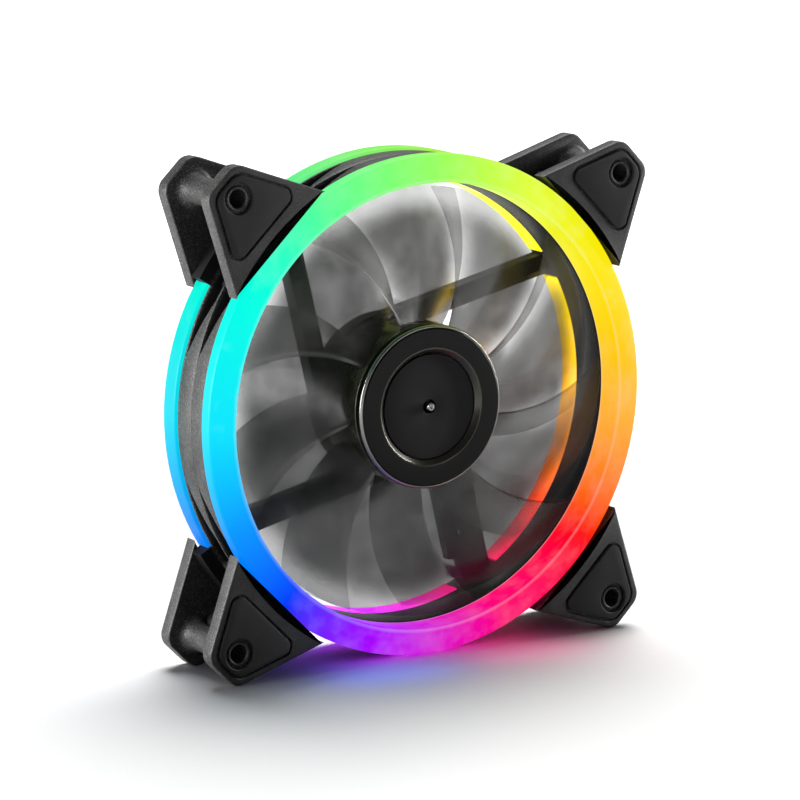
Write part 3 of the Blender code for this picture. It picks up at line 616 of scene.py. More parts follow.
def lit_plastic(name, glow, wall_glow, lip):
    """Milky plastic lit from inside; its inner lip carries a thin pale line, a painted highlight.
    """
    m = Nodes(name)
    radius = m.radius()
    # Painted highlight: a thin pale line round the inner lip, with lip as its strength.
    on_lip = m.remap(radius, DUCT_RADIUS + 0.1 * MM, DUCT_RADIUS + 0.35 * MM, 0, 1, True)
    off_lip = m.remap(radius, DUCT_RADIUS + 0.5 * MM, DUCT_RADIUS + 1.3 * MM, lip, 0, True)
    depth = m.math("ABSOLUTE", m.parts()[1])
    wall_end = m.remap(depth, 4.8 * MM, 5.7 * MM, 0.3, 0.0, True)
    wall_end = m.times(wall_end, m.math("SUBTRACT", 1.0, on_lip))
    cloud = m.noise(5 * MM, 2.0)
    pale = m.math("ADD", m.times(on_lip, off_lip), wall_end)
    pale = m.math("ADD", pale, m.remap(cloud, 0.4, 0.75, 0.0, 0.06), clamp=True)
    shown = m.mix(pale, ring_colour(m), grey(1))
    m.set(Base_Color=m.mix(0.97, shown, grey(0)))
    deep = m.add("ShaderNodeHueSaturation")
    deep.inputs["Saturation"].default_value = 1.04
    m.link(shown, deep.inputs["Color"])
    m.set(Emission_Color=deep.outputs[0])
    wall = (DUCT_RADIUS + 0.1 * MM, DUCT_RADIUS + 0.6 * MM)
    m.set(Emission_Strength=m.remap(radius, *wall, wall_glow, glow, True))
    m.set(Roughness=m.spread(cloud, 0.32, 0.42), Specular_IOR_Level=0.06)
    m.bump(m.noise(0.8 * MM), 0.01 * MM, 0.4)
    return m.material


def smoky_plastic():
    """Clear smoky plastic, thickest at the root and along the middle of a blade."""
    m = Nodes("blade_smoke")
    chord = m.add("ShaderNodeAttribute", attribute_name="chord").outputs["Fac"]
    middle = m.math("ABSOLUTE", m.math("SUBTRACT", chord, 0.5))
    body = m.remap(middle, 0.2, 0.49, 1.0, 0.5, True)
    root = m.remap(m.radius(), 23 * MM, 33 * MM, 1.0, 0.0, True)
    body = m.math("MAXIMUM", body, root)
    streak = m.noise(9 * MM, 2.0, 0.5, (1, 0.4, 1))
    alpha = m.times(body, m.spread(streak, 0.66, 0.8))
    tip = m.remap(m.radius(), 43 * MM, 50 * MM, 1.0, 0.5, True)
    alpha = m.math("MULTIPLY", alpha, tip, clamp=True)
    m.set(Base_Color=m.mottle(streak, srgb(0.115, 0.115, 0.11), srgb(0.23, 0.23, 0.22)))
    m.set(Alpha=alpha, IOR=1.58)
    m.set(Roughness=m.spread(m.noise(2.5 * MM), 0.16, 0.26))
    m.bump(m.noise(3 * MM, 1.0), 0.03 * MM, 0.3)
    return m.material


def cap_gloss():
    """Gloss black cap; grey metal on the slope beside the disc is painted sheen, and paler metal
    round the rim is a painted highlight.
    """
    m = Nodes("hub_cap_gloss")
    radius = m.radius()
    slope_rise = (LABEL_RADIUS + 0.05 * MM, LABEL_RADIUS + 0.25 * MM)
    slope_fall = (LABEL_RADIUS + 1.6 * MM, LABEL_RADIUS + 1.85 * MM)
    rim_rise = (HUB_RADIUS - 0.75 * MM, HUB_RADIUS - 0.6 * MM)
    rim_fall = (HUB_RADIUS - 0.1 * MM, HUB_RADIUS - 0.02 * MM)
    # Painted sheen and highlight: the slope's grey metal and the rim's paler metal stand in for
    # reflections on the gloss black.
    slope = m.window(radius, slope_rise, slope_fall)
    ring = m.math("MAXIMUM", slope, m.window(radius, rim_rise, rim_fall))
    fine = m.noise(0.3 * MM, 2.0, 0.6)
    dark = m.mottle(fine, srgb(0.02, 0.02, 0.018), srgb(0.04, 0.04, 0.037))
    on_rim = m.remap(radius, *rim_rise, 0, 1)
    metal = m.mix(on_rim, srgb(0.26, 0.255, 0.235), srgb(0.5, 0.5, 0.48))
    m.set(Base_Color=m.mix(ring, dark, metal))
    m.set(Metallic=m.times(ring, 0.9))
    gloss = m.spread(m.noise(6 * MM), 0.12, 0.18)
    m.set(Roughness=m.math("MULTIPLY_ADD", ring, 0.1, gloss), Specular_IOR_Level=0.1)
    m.bump(fine, 0.004 * MM, 0.2)
    return m.material


def disc_matte(name, tone):
    """A matte film disc with very fine turned lines."""
    m = Nodes(name)
    lines = m.math("SINE", m.times(m.radius(), 2 * math.pi / (0.22 * MM)))
    grain = m.noise(0.25 * MM, 2.0, 0.7)
    low = [c * 0.85 for c in tone]
    m.set(Base_Color=m.mottle(grain, srgb(*low), srgb(*tone)))
    m.set(Roughness=m.spread(grain, 0.5, 0.62), Specular_IOR_Level=0.1)
    m.bump(m.math("MULTIPLY_ADD", lines, 0.2, grain), 0.006 * MM, 0.4)
    return m.material


def pad_rubber():
    """Matt black rubber with a fine moulded grain."""
    m = Nodes("pad_black")
    fine = m.noise(0.2 * MM, 2.0, 0.7)
    specks = m.remap(fine, 0.5, 0.78, 0.0, 0.2)
    tone = m.math("ADD", m.spread(m.noise(9 * MM, 2.0), 0.0, 0.35), specks, clamp=True)
    m.set(Base_Color=m.mix(tone, grey(0.08), srgb(0.13, 0.13, 0.128)))
    m.set(Roughness=m.remap(fine, 0.3, 0.75, 0.81, 0.67), Specular_IOR_Level=0.2)
    m.bump(fine, 0.05 * MM, 0.55)
    return m.material


def frame_plastic():
    """The frame's black, with painted shade in the pockets, on the duct's inner wall, between the
    ears' plates and, through fewer specks, on the ears' flat faces.
    """
    m = Nodes("frame_black")
    fine = m.noise(0.32 * MM, 2.0, 0.7)
    x, y, z = m.parts()
    radius = m.radius()
    depth = m.math("ABSOLUTE", y)
    # Painted shade: the ears' flat front and rear faces keep only 0.3 of the specks, so they read
    # darker than the sides.
    flat_face_shade = m.remap(depth, EAR_FACE - 0.2 * MM, EAR_FACE - 0.05 * MM, 1.0, 0.3, True)
    specks = m.times(m.remap(fine, 0.5, 0.7, 0.0, 0.8), flat_face_shade)
    tone = m.math("ADD", m.spread(m.noise(9 * MM, 2.0), 0.0, 0.14), specks, clamp=True)
    colour = m.mix(tone, grey(0.06), srgb(0.36, 0.36, 0.355))

    # Painted shade: near black between the ears' plates away from the posts, down in the pockets
    # and on the duct's inner wall.
    across = m.math("SUBTRACT", m.math("ABSOLUTE", x), SCREW_OFFSET)
    above = m.math("SUBTRACT", m.math("ABSOLUTE", z), SCREW_OFFSET)
    off_post = m.remap(m.length(across, above), 3.6 * MM, 6.5 * MM, 0, 1, True)
    rise = (BAND_RADIUS + 0.2 * MM, BAND_RADIUS + 0.8 * MM)
    inside = m.remap(depth, EAR_BACK - 0.3 * MM, EAR_BACK + 0.3 * MM, 1, 0, True)
    between = m.times(inside, m.remap(radius, *rise, 0, 1, True), off_post)
    rise = (SHOULDER_RADIUS, SHOULDER_RADIUS + 0.3 * MM)
    pocket = m.window(radius, rise, (BAND_RADIUS - 0.9 * MM, BAND_RADIUS - 0.1 * MM))
    rise = (DUCT_RADIUS - 0.6 * MM, DUCT_RADIUS - 0.2 * MM)
    wall = m.window(radius, rise, (DUCT_RADIUS + 0.2 * MM, DUCT_RADIUS + 0.4 * MM), 0.7)
    painted_shade = m.math("MAXIMUM", m.math("MAXIMUM", between, pocket), wall)
    painted_shade = m.times(painted_shade, 0.96)
    m.set(Base_Color=m.mix(painted_shade, colour, grey(0.01)))
    m.set(Roughness=m.remap(fine, 0.3, 0.75, 0.56, 0.4), Specular_IOR_Level=0.25)
    m.bump(fine, 0.06 * MM, 0.7)
    return m.material


FRAME_BLACK = frame_plastic()
PAD_BLACK = pad_rubber()
FRONT_GLOW = lit_plastic("front_ring_glow", 0.97, 0.97, 0.1)
REAR_GLOW = lit_plastic("rear_ring_glow", 0.85, 3.2, 0.0)
BLADE_SMOKE = smoky_plastic()
HUB_GLOSS = plain_finish(
    "hub_gloss", srgb(0.16, 0.15, 0.12), srgb(0.34, 0.32, 0.26), 0.24, 0.8, 4 * MM
)
CAP_GLOSS = cap_gloss()
LABEL_MATTE = disc_matte("hub_label_matte", (0.085, 0.085, 0.085))
REAR_LABEL_MATTE = disc_matte("rear_label_matte", (0.2, 0.2, 0.205))
SHAFT_STEEL = plain_finish(
    "polished_steel", srgb(0.4, 0.4, 0.41), srgb(0.62, 0.62, 0.63), 0.25, 1.0, 0.4 * MM
)

# ---------------- the frame


def band_profile(angle):
    """The duct's closed section at one angle, with that angle's share of the two pockets."""
    span = math.pi / 2 - 2 * POCKET_START
    turn = (angle % (math.pi / 2)) - POCKET_START
    share = max(0.0, min(1.0, turn / POCKET_TAPER, (span - turn) / POCKET_TAPER))
    width = POCKET_SLIT + (POCKET_WIDTH - POCKET_SLIT) * share
    depth = (BAND_RADIUS - POCKET_FLOOR) * min(1.0, 0.01 + share * 2.2)
    soft = 0.16 * MM * min(1.0, 0.05 + share * 3)
    corners = [
        (BAND_RADIUS, BAND_REAR),
        (SHOULDER_RADIUS, BAND_REAR),
        (SHOULDER_RADIUS, DUCT_REAR),
        (DUCT_RADIUS, DUCT_REAR),
        (DUCT_RADIUS, DUCT_FRONT),
        (SHOULDER_RADIUS, DUCT_FRONT),
        (SHOULDER_RADIUS, BAND_FRONT),
        (BAND_RADIUS, BAND_FRONT),
    ]
    profile = rounded(corners, 0.25 * MM, 3)
    for rear in POCKET_REARS:
        front = rear - width
        draft = 0.12 * width
        floor = BAND_RADIUS - depth
        profile += [
            (BAND_RADIUS, front - soft),
            (BAND_RADIUS - soft * 0.3, front - soft * 0.3),
            (BAND_RADIUS - soft, front),
            (floor + soft, front + draft),
            (floor, front + draft + soft),
            (floor, rear - soft),
            (floor + soft, rear - 0.02 * width),
            (BAND_RADIUS - soft, rear),
            (BAND_RADIUS - soft * 0.3, rear + soft * 0.3),
            (BAND_RADIUS, rear + soft),
        ]
    return profile


def ear_outline():
    """The ear at the +X +Z corner: slanted sides, a cut-off corner and an inner arc."""
    diagonal = math.pi / 4
    right = arc(EAR_CORNER, EAR_CORNER_RADIUS, EAR_SLANT, diagonal, 12)
    top = arc(EAR_CORNER[::-1], EAR_CORNER_RADIUS, diagonal, math.pi / 2 - EAR_SLANT, 12)
    inner = arc((0, 0), EAR_ARC_RADIUS, math.pi / 2 - EAR_ARC_START, EAR_ARC_START, 28)
    return [EAR_TIP, *right, *top, EAR_TIP[::-1], *inner]


def ears():
    pieces = []
    clear_of_ring = RING_OUTER + GAP
    half_span = math.pi / 4 - EAR_ARC_START - math.radians(1)
    for side_x, side_z in CORNERS.values():
        outline = mirrored(ear_outline(), side_x, side_z)
        middle = math.atan2(side_z, side_x)
        for face, band_end in ((-1, -BAND_FRONT), (1, BAND_REAR)):
            pieces.append(plate("ear", outline, face * EAR_BACK, face * EAR_FACE, EAR_BEVEL))
            outer, inner = EAR_BACK + OVERLAP, band_end - 0.2 * MM
            profile = [
                (clear_of_ring, outer),
                (ROOT_OUTER_RADIUS, outer),
                (ROOT_OUTER_RADIUS, band_end - FLANGE),
                (BAND_RADIUS - OVERLAP, band_end - FLANGE),
                (BAND_RADIUS - OVERLAP, inner),
                (clear_of_ring, inner),
            ]
            profile = [(radius, face * y) for radius, y in profile]
            pieces.append(swept("root", profile, middle - half_span, middle + half_span, 24))
        width = (-GUSSET_THICKNESS / 2, GUSSET_THICKNESS / 2)
        foot = (POCKET_FLOOR - OVERLAP, clear_of_ring + OVERLAP)
        ends = (BAND_FRONT + OVERLAP, BAND_REAR - OVERLAP)
        pieces.append(bar("foot", middle, foot, width, *ends))
        reach = SCREW_OFFSET * math.sqrt(2) - POST_RADIUS + OVERLAP
        web = (clear_of_ring + 0.1 * MM, reach)
        half_depth = EAR_BACK + OVERLAP / 2
        pieces.append(bar("web", middle, web, width, -half_depth, half_depth))
    return pieces


def at_screws(name, half):
    """Turned solids on the four screw holes' lines, from the half of the profile at the rear."""
    profile = half + [(radius, -y) for radius, y in reversed(half)]
    pieces = []
    for side_x, side_z in CORNERS.values():
        centre = (side_x * SCREW_OFFSET, side_z * SCREW_OFFSET)
        pieces.append(turned_solid(name, profile, SMALL_SIDES, centre))
    return pieces


def posts():
    """The tubes between the ear plates: each flares into both plates and ends in a collar."""
    half = [
        (0, COLLAR_FACE),
        (COLLAR_RADIUS - COLLAR_EDGE, COLLAR_FACE),
        (COLLAR_RADIUS, COLLAR_FACE - COLLAR_EDGE),
        (COLLAR_RADIUS, EAR_BACK + 1.5 * MM),
        (POST_RADIUS + POST_FLARE, EAR_BACK + 0.3 * MM),
    ]
    steps = 6
    for step in range(steps + 1):
        turn = math.pi / 2 * step / steps
        radius = POST_RADIUS + POST_FLARE * (1 - math.sin(turn))
        half.append((radius, EAR_BACK - POST_FLARE * 1.6 * (1 - math.cos(turn))))
    return at_screws("post", half)


def screw_holes():
    mouth = SCREW_HOLE_RADIUS + COLLAR_EDGE
    half = [
        (0, PAD_FACE + CUT_PAST),
        (mouth, PAD_FACE + CUT_PAST),
        (mouth, COLLAR_FACE + 0.01 * MM),
        (SCREW_HOLE_RADIUS, COLLAR_FACE - COLLAR_EDGE),
    ]
    return at_screws("hole", half)


def pad_recesses():
    pieces = []
    for side_x, side_z in CORNERS.values():
        outline = rounded(shrunk(PAD_OUTLINE, -PAD_GROOVE), RECESS_CORNER_RADIUS)
        outline = mirrored(outline, side_x, side_z)
        for face in (-1, 1):
            floor = face * (PAD_BACK - GAP)
            beyond = face * (PAD_FACE + CUT_PAST)
            cutter = flared_cutter("recess", outline, floor, face * EAR_FACE, beyond, RECESS_FLARE)
            pieces.append(cutter)
    return pieces


def strut_layout():
    """The direction, the two side offsets and the end angles of each strut."""
    layout = []
    for quarter in range(4):
        direction = STRUT_DIRECTION - quarter * math.pi / 2
        offsets = CABLE_STRUT_OFFSETS if quarter == CABLE_STRUT else STRUT_OFFSETS
        start = direction + math.asin(offsets[0] / FOOT_INNER)
        end = direction + math.asin(offsets[1] / FOOT_INNER)
        layout.append((direction, offsets, start, end))
    return layout


def struts():
    pieces = []
    for direction, (low, high), start, end in strut_layout():
        corners = [
            (low + STRUT_CHAMFER, STRUT_FRONT),
            (high, STRUT_FRONT),
            (high, STRUT_REAR),
            (low, STRUT_REAR),
            (low, STRUT_FRONT + STRUT_CHAMFER * 0.9),
        ]
        section = rounded(corners, 0.35 * MM)
        reach = math.sqrt((FOOT_OUTER - OVERLAP) ** 2 - high**2)
        rows = []
        for distance in (0, reach):
            places = [(*along(direction, distance, offset), y) for offset, y in section]
            rows.append([(x, y, z) for x, z, y in places])
        pieces.append(through("strut", rows))
        foot = corners_of(FOOT_INNER, FOOT_OUTER, FOOT_FRONT, STRUT_REAR - 0.2 * MM)
        foot = rounded(foot, 0.2 * MM, 3)
        pieces.append(swept("foot", foot, start - FOOT_MARGIN, end + FOOT_MARGIN, 14))
    return pieces


def cable_cutters():
    """The channel along the rear of the wide strut, its tie slot, hook and the lead's way in."""
    direction, offsets, _, _ = strut_layout()[CABLE_STRUT]
    walls = (offsets[0] + CABLE_CHANNEL_WALL, offsets[1] - CABLE_CHANNEL_WALL)
    rear = BASE_REAR + CUT_PAST
    front = STRUT_FRONT - CUT_PAST
    cuts = (
        (CABLE_CHANNEL_REACH, walls, CABLE_CHANNEL_FLOOR),
        (TIE_SLOT_REACH, TIE_SLOT_SIDES, front),
        (LEAD_INLET_REACH, LEAD_INLET_SIDES, BASE_RIM_FRONT - CUT_PAST),
        (HOOK_REACH, HOOK_SIDES, front),
    )
    return [bar("cut", direction, reach, sides, near, rear) for reach, sides, near in cuts]


def motor_bay():
    profile = corners_of(0, BASE_RIM_INNER, DUCT_REAR, BASE_FRONT)
    return turned_solid("bay", profile, HUB_SIDES)


def motor_base():
    corners = [
        (TUBE_INNER, TUBE_FRONT),
        (TUBE_OUTER, TUBE_FRONT),
        (TUBE_OUTER, BASE_FRONT),
        (BASE_RIM_INNER, BASE_FRONT),
        (BASE_RIM_INNER, BASE_RIM_FRONT),
        (BASE_RADIUS, BASE_RIM_FRONT),
        (BASE_RADIUS, BASE_REAR),
        (LABEL_RECESS_RADIUS, BASE_REAR),
        (LABEL_RECESS_RADIUS, LABEL_RECESS_FLOOR),
        (TUBE_INNER, LABEL_RECESS_FLOOR),
    ]
    return turned("base", rounded(corners, 0.3 * MM), HUB_SIDES)


def build_frame():
    shell = turned("frame_shell", band_profile, BAND_STEPS)
    combine(shell, "UNION", [*ears(), *struts()])
    combine(shell, "DIFFERENCE", [*pad_recesses(), motor_bay()])
    combine(shell, "UNION", [*posts(), motor_base()])
    combine(shell, "DIFFERENCE", [*screw_holes(), *cable_cutters()])
    settle(shell, FRAME_BLACK, "frame", "frame")


# ---------------- rings and pads


def ring_profile(face, outer_end, inner_end, outer_lip, inner_lip):
    """A channel section that opens towards the frame; face is -1 in front and 1 behind."""
    corners = [
        (RING_OUTER - RING_WALL, outer_end),
        (RING_OUTER, outer_end),
        (RING_OUTER, outer_lip),
        ((RING_OUTER + DUCT_RADIUS) / 2, (outer_lip + inner_lip) / 2 + RING_CROWN),
        (DUCT_RADIUS, inner_lip),
        (DUCT_RADIUS, inner_end),
        (DUCT_RADIUS + RING_WALL, inner_end),
        (DUCT_RADIUS + RING_WALL, inner_lip - 1.6 * MM),
        (RING_OUTER - RING_WALL, outer_lip - 1.1 * MM),
    ]
    profile = rounded(corners, 0.7 * MM, 6, skip=(0, 6, 7, 8))
    return [(radius, face * y) for radius, y in profile]


def build_rings():
    front_profile = ring_profile(
        -1, FRONT_RING_OUTER_END, -FRONT_RING_REAR, FRONT_RING_OUTER_LIP, -FRONT_RING_FACE
    )
    front = turned("front_ring", front_profile, ROUND_SIDES)
    rear_profile = ring_profile(
        1, REAR_RING_FRONT, REAR_RING_INNER_END, REAR_RING_OUTER_LIP, REAR_RING_FACE
    )
    rear = turned("rear_ring", rear_profile, ROUND_SIDES)
    inner, outer = DUCT_RADIUS - CUT_PAST, DUCT_RADIUS + RING_WALL + OVERLAP
    section = corners_of(inner, outer, DUCT_REAR - CUT_PAST, PAD_FACE)
    margin = FOOT_MARGIN + NOTCH_MARGIN
    notches = []
    for _, _, start, end in strut_layout():
        notches.append(swept("notch", section, start - margin, end + margin, 14))
    combine(rear, "DIFFERENCE", notches)
    settle(front, FRONT_GLOW, "frame", "front_light_ring")
    settle(rear, REAR_GLOW, "frame", "rear_light_ring")


def build_pads():
    mouth = PAD_HOLE_RADIUS + PAD_HOLE_LIP
    hole = [
        (0, PAD_BACK - CUT_PAST),
        (PAD_HOLE_RADIUS, PAD_BACK - CUT_PAST),
        (PAD_HOLE_RADIUS, PAD_FACE - PAD_HOLE_LIP),
        (mouth, PAD_FACE),
        (mouth, PAD_FACE + CUT_PAST),
        (0, PAD_FACE + CUT_PAST),
    ]
    for corner, (side_x, side_z) in CORNERS.items():
        outline = mirrored(rounded(PAD_OUTLINE, PAD_CORNER_RADIUS), side_x, side_z)
        centre = (side_x * SCREW_OFFSET, side_z * SCREW_OFFSET)
        for side, face in (("front", -1), ("rear", 1)):
            name = f"{side}_pad_{corner}"
            pad = plate(f"{name}_rubber", outline, face * PAD_BACK, face * PAD_FACE, PAD_BEVEL)
            profile = [(radius, face * y) for radius, y in hole]
            combine(pad, "DIFFERENCE", [turned_solid("hole", profile, SMALL_SIDES, centre)])
            settle(pad, PAD_BLACK, "frame", name)


# ---------------- the rotor


def blade_point(share, chord, side):
    """A point of the first blade: share runs from root to tip, chord from its leading edge."""
    radius = BLADE_ROOT_RADIUS + (BLADE_TIP_RADIUS - BLADE_ROOT_RADIUS) * share
    span = BLADE_SPAN_ROOT + (BLADE_SPAN_TIP - BLADE_SPAN_ROOT) * share
    lead = BLADE_SWEEP * share**1.4 + span / 2
    front = BLADE_FRONT_EDGE
    depth = BLADE_REAR - front - BLADE_THICKNESS
    depth_here = depth * (1 - 0.08 * share)
    angle = lead - span * chord
    bend = BLADE_BOW * math.sin(math.pi * chord)
    y = front + BLADE_THICKNESS / 2 + (depth - depth_here) / 2 + depth_here * chord - bend
    pitch = math.atan2(depth_here, span * radius)
    thickness = 0.5 + 0.5 * math.sin(math.pi * chord)
    edge = min(chord, 1 - chord)
    thickness *= math.sqrt(min(1.0, edge / BLADE_EDGE_SHARE))
    half = side * BLADE_THICKNESS / 2 * thickness
    angle += half * math.sin(pitch) / radius
    y += half * math.cos(pitch)
    return radius * math.cos(angle), y, radius * math.sin(angle)


def build_blades():
    """All nine blades as one piece; each vertex keeps its place across the blade as chord."""
    builder = bmesh.new()
    layer = builder.verts.layers.float.new("chord")
    chords = [0.5 - 0.5 * math.cos(math.pi * c / BLADE_COLUMNS) for c in range(BLADE_COLUMNS + 1)]
    round_trip = [(c, -1) for c in chords] + [(c, 1) for c in chords[-2:0:-1]]
    shares = [row / BLADE_ROWS for row in range(BLADE_ROWS + 1)]
    for number in range(BLADE_COUNT):
        turn = Matrix.Rotation(-2 * math.pi * number / BLADE_COUNT, 4, "Y")
        lift = Matrix.Translation((0, 0, AXIS_Z))
        loops = []
        for share in shares:
            loop = []
            for chord, side in round_trip:
                point = lift @ turn @ Vector(blade_point(share, chord, side))
                vertex = builder.verts.new(point)
                vertex[layer] = chord
                loop.append(vertex)
            loops.append(loop)
        loops_to_mesh(builder, loops, False)
        for loop in (loops[0], loops[-1]):
            for step in range(BLADE_COLUMNS):
                corners = (loop[step], loop[step + 1], loop[-step - 1], loop[-step])
                builder.faces.new(list(dict.fromkeys(corners)))
    blades = finish_mesh("impeller_blades", builder)
    settle(blades, BLADE_SMOKE, "rotor")


def build_hub():
    corners = [
        (HUB_BORE, HUB_FRONT),
        (HUB_RADIUS, HUB_FRONT),
        (HUB_RADIUS, HUB_REAR),
        (HUB_WALL_INNER, HUB_REAR),
        (HUB_WALL_INNER, HUB_WEB_REAR),
        (HUB_BORE, HUB_WEB_REAR),
    ]
    shell = turned("impeller_hub", rounded(corners, 0.4 * MM), HUB_SIDES)
    settle(shell, HUB_GLOSS, "rotor", "impeller")

    slope_inner = LABEL_RADIUS + 0.3 * MM
    corners = [
        (CAP_BORE, LABEL_BACK + GAP),
        (slope_inner, LABEL_BACK + GAP),
        (slope_inner, LABEL_FACE + 0.2 * MM),
        (LABEL_RADIUS + 1.5 * MM, CAP_FACE),
        (HUB_RADIUS - 1.0 * MM, CAP_FACE),
        (HUB_RADIUS - 0.8 * MM, CAP_FACE + 0.25 * MM),
        (HUB_RADIUS - 0.5 * MM, CAP_FACE + 0.1 * MM),
        (HUB_RADIUS, CAP_FACE + 0.7 * MM),
        (HUB_RADIUS, CAP_BACK),
        (CAP_BORE, CAP_BACK),
    ]
    cap = turned("hub_cap_gloss", rounded(corners, 0.22 * MM), HUB_SIDES)
    settle(cap, CAP_GLOSS, "rotor", "hub_cap")

    corners = corners_of(CAP_BORE, LABEL_RADIUS, LABEL_BACK, LABEL_FACE)
    label = turned("hub_disc", rounded(corners, 0.1 * MM, 3), HUB_SIDES)
    settle(label, LABEL_MATTE, "rotor", "hub_label")

    profile = [
        (0, SHAFT_TIP + 0.45 * MM),
        (0.28 * MM, SHAFT_TIP + 0.2 * MM),
        (0.4 * MM, SHAFT_TIP + 0.05 * MM),
        (0.62 * MM, SHAFT_TIP),
        (0.85 * MM, SHAFT_TIP + 0.08 * MM),
        (SHAFT_RADIUS, SHAFT_TIP + 0.35 * MM),
        (SHAFT_RADIUS, CLIP_GROOVE_FRONT),
        (CLIP_GROOVE_RADIUS, CLIP_GROOVE_FRONT + 0.05 * MM),
        (CLIP_GROOVE_RADIUS, CLIP_GROOVE_REAR - 0.05 * MM),
        (SHAFT_RADIUS, CLIP_GROOVE_REAR),
        (SHAFT_RADIUS - 0.1 * MM, SHAFT_END - 0.1 * MM),
        (0, SHAFT_END),
    ]
    shaft = turned_solid("shaft_turned", profile, SMALL_SIDES)
    settle(shaft, SHAFT_STEEL, "rotor", "shaft")


def build_rear_label():
    edge = 0.05 * MM
    profile = [
        (0, REAR_LABEL_FRONT),
        (REAR_LABEL_RADIUS - edge, REAR_LABEL_FRONT),
        (REAR_LABEL_RADIUS, REAR_LABEL_FRONT + edge),
        (REAR_LABEL_RADIUS, REAR_LABEL_FACE - edge),
        (REAR_LABEL_RADIUS - edge, REAR_LABEL_FACE),
        (0, REAR_LABEL_FACE),
    ]
    disc = turned_solid("rear_label_disc", profile, HUB_SIDES)
    settle(disc, REAR_LABEL_MATTE, "frame", "rear_label")


# ---------------- materials of the hidden CAD nodes


def lined_metal(name, dark, light, pitch, metallic, depth, strength):
    """Metal with fine lines round the axis: wire turns or a stack of sheets."""
    m = Nodes(name)
    lines = m.math("SINE", m.times(m.parts()[1], 2 * math.pi / pitch))
    m.set(Base_Color=m.mix(m.remap(lines, -1, 1, 0, 1), dark, light), Metallic=metallic)
    m.bump(lines, depth, strength)
    return m, lines


def coil_windings():
    """Copper wire turns, as fine ridges along the winding."""
    dark, light = srgb(0.45, 0.2, 0.1), srgb(0.85, 0.5, 0.3)
    m, turns = lined_metal("coil_windings", dark, light, 0.3 * MM, 0.9, 0.08 * MM, 0.8)
    m.set(Roughness=m.remap(turns, -1, 1, 0.45, 0.25))
    return m.material


def steel_layers():
    """Stacked laminations, as fine lines across the stack."""
    dark, light = srgb(0.3, 0.3, 0.31), grey(0.5)
    m, _ = lined_metal("steel_layers", dark, light, 0.5 * MM, 0.95, 0.05 * MM, 0.7)
    m.set(Roughness=m.spread(m.noise(0.6 * MM), 0.35, 0.5))
    return m.material


def board_mask():
    """Green solder mask with faint tracks under it."""
    m = Nodes("solder_mask")
    tracks = m.remap(m.cells(2.2 * MM), 0.32, 0.36, 0, 1)
    m.set(Base_Color=m.mix(tracks, srgb(0.05, 0.3, 0.16), srgb(0.1, 0.42, 0.22)))
    m.set(Roughness=m.spread(m.noise(1 * MM), 0.25, 0.4))
    m.bump(tracks, 0.02 * MM, 0.6)
    return m.material


def finish_cad_nodes():
    """Looks for the CAD nodes still shown; the first key found in a node's name is its look."""
    nylon = plain_finish("cream_nylon", srgb(0.78, 0.76, 0.68), srgb(0.88, 0.86, 0.8), 0.5)
    rubber = plain_finish("seal_black", grey(0.1), grey(0.18), 0.7)
    chip = plain_finish("chip_black", grey(0.08), grey(0.14), 0.45)
    white = plain_finish("strip_white", srgb(0.8, 0.8, 0.78), srgb(0.92, 0.92, 0.9), 0.5)
    lens = plain_finish("lens_yellow", srgb(0.9, 0.85, 0.55), srgb(0.97, 0.94, 0.75), 0.3)
    bronze = (srgb(0.5, 0.33, 0.18), srgb(0.72, 0.52, 0.32), 0.4, 0.95, 0.3 * MM)
    tin = (grey(0.66), grey(0.82), 0.35, 1.0, 0.4 * MM)
    plating = (srgb(0.5, 0.48, 0.44), srgb(0.66, 0.64, 0.6), 0.28, 1.0, 2 * MM)
    ferrite = (srgb(0.17, 0.165, 0.16), srgb(0.25, 0.24, 0.23), 0.6, 0.1, 0.5 * MM)
    ceramic = (srgb(0.6, 0.47, 0.33), srgb(0.74, 0.6, 0.44), 0.5)
    looks = {
        "stator_core": steel_layers(),
        "stator_coil": coil_windings(),
        "motor_circuit_board": board_mask(),
        "led_strip": white,
        "led_": lens,
        "bearing_sleeve": plain_finish("sintered_bronze", *bronze),
        "oil_seal": rubber,
        "bearing_plug": rubber,
        "thrust_pad": nylon,
        "stator_insulator": nylon,
        "hall_sensor": chip,
        "driver_chip": chip,
        "capacitor": plain_finish("ceramic_tan", *ceramic),
        "terminal_pin": plain_finish("tin_plate", *tin),
        "rotor_yoke": plain_finish("yoke_plate", *plating),
        "magnet_ring": plain_finish("ferrite_grey", *ferrite),
        "retaining_clip": SHAFT_STEEL,
    }
    for name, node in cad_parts.items():
        if node.hide_render:
            continue
        for key, look in looks.items():
            if key in name:
                give(node, look)
                break


# ---------------- studio and the camera

CAMERA_AZIMUTH = math.radians(-32.06)
CAMERA_ELEVATION = math.radians(10.61)
CAMERA_DISTANCE = 784.9 * MM
CAMERA_TARGET = (-1.93 * MM, 0.0, 0.12 * MM)
CAMERA_ROLL = math.radians(0.39)
CAMERA_LENS = 148.8
SENSOR_WIDTH = 36.0

FLOOR_HALF = 6.0
FLOOR_STEPS = 8
FLOOR_DROP = 0.05 * MM
FLOOR_FADE = (0.12, 0.45)
# The room's strength by how far behind the fan a direction points.
ROOM_LIGHT = {"From Min": -0.9, "From Max": 0.5, "To Min": 0.03, "To Max": 0.22}
# Each softbox's place, size and power.
SOFTBOXES = {
    "left_softbox": ((-0.45, 0.13, 0.05), (0.25, 0.3), 8),
    "left_strip": ((-0.8, -0.15, 0.12), (0.06, 0.5), 5),
    "right_strip": ((0.85, -0.12, 0.24), (0.06, 0.5), 14),
    "front_softbox": ((0.3, -0.8, 0.5), (0.3, 0.3), 0.8),
}
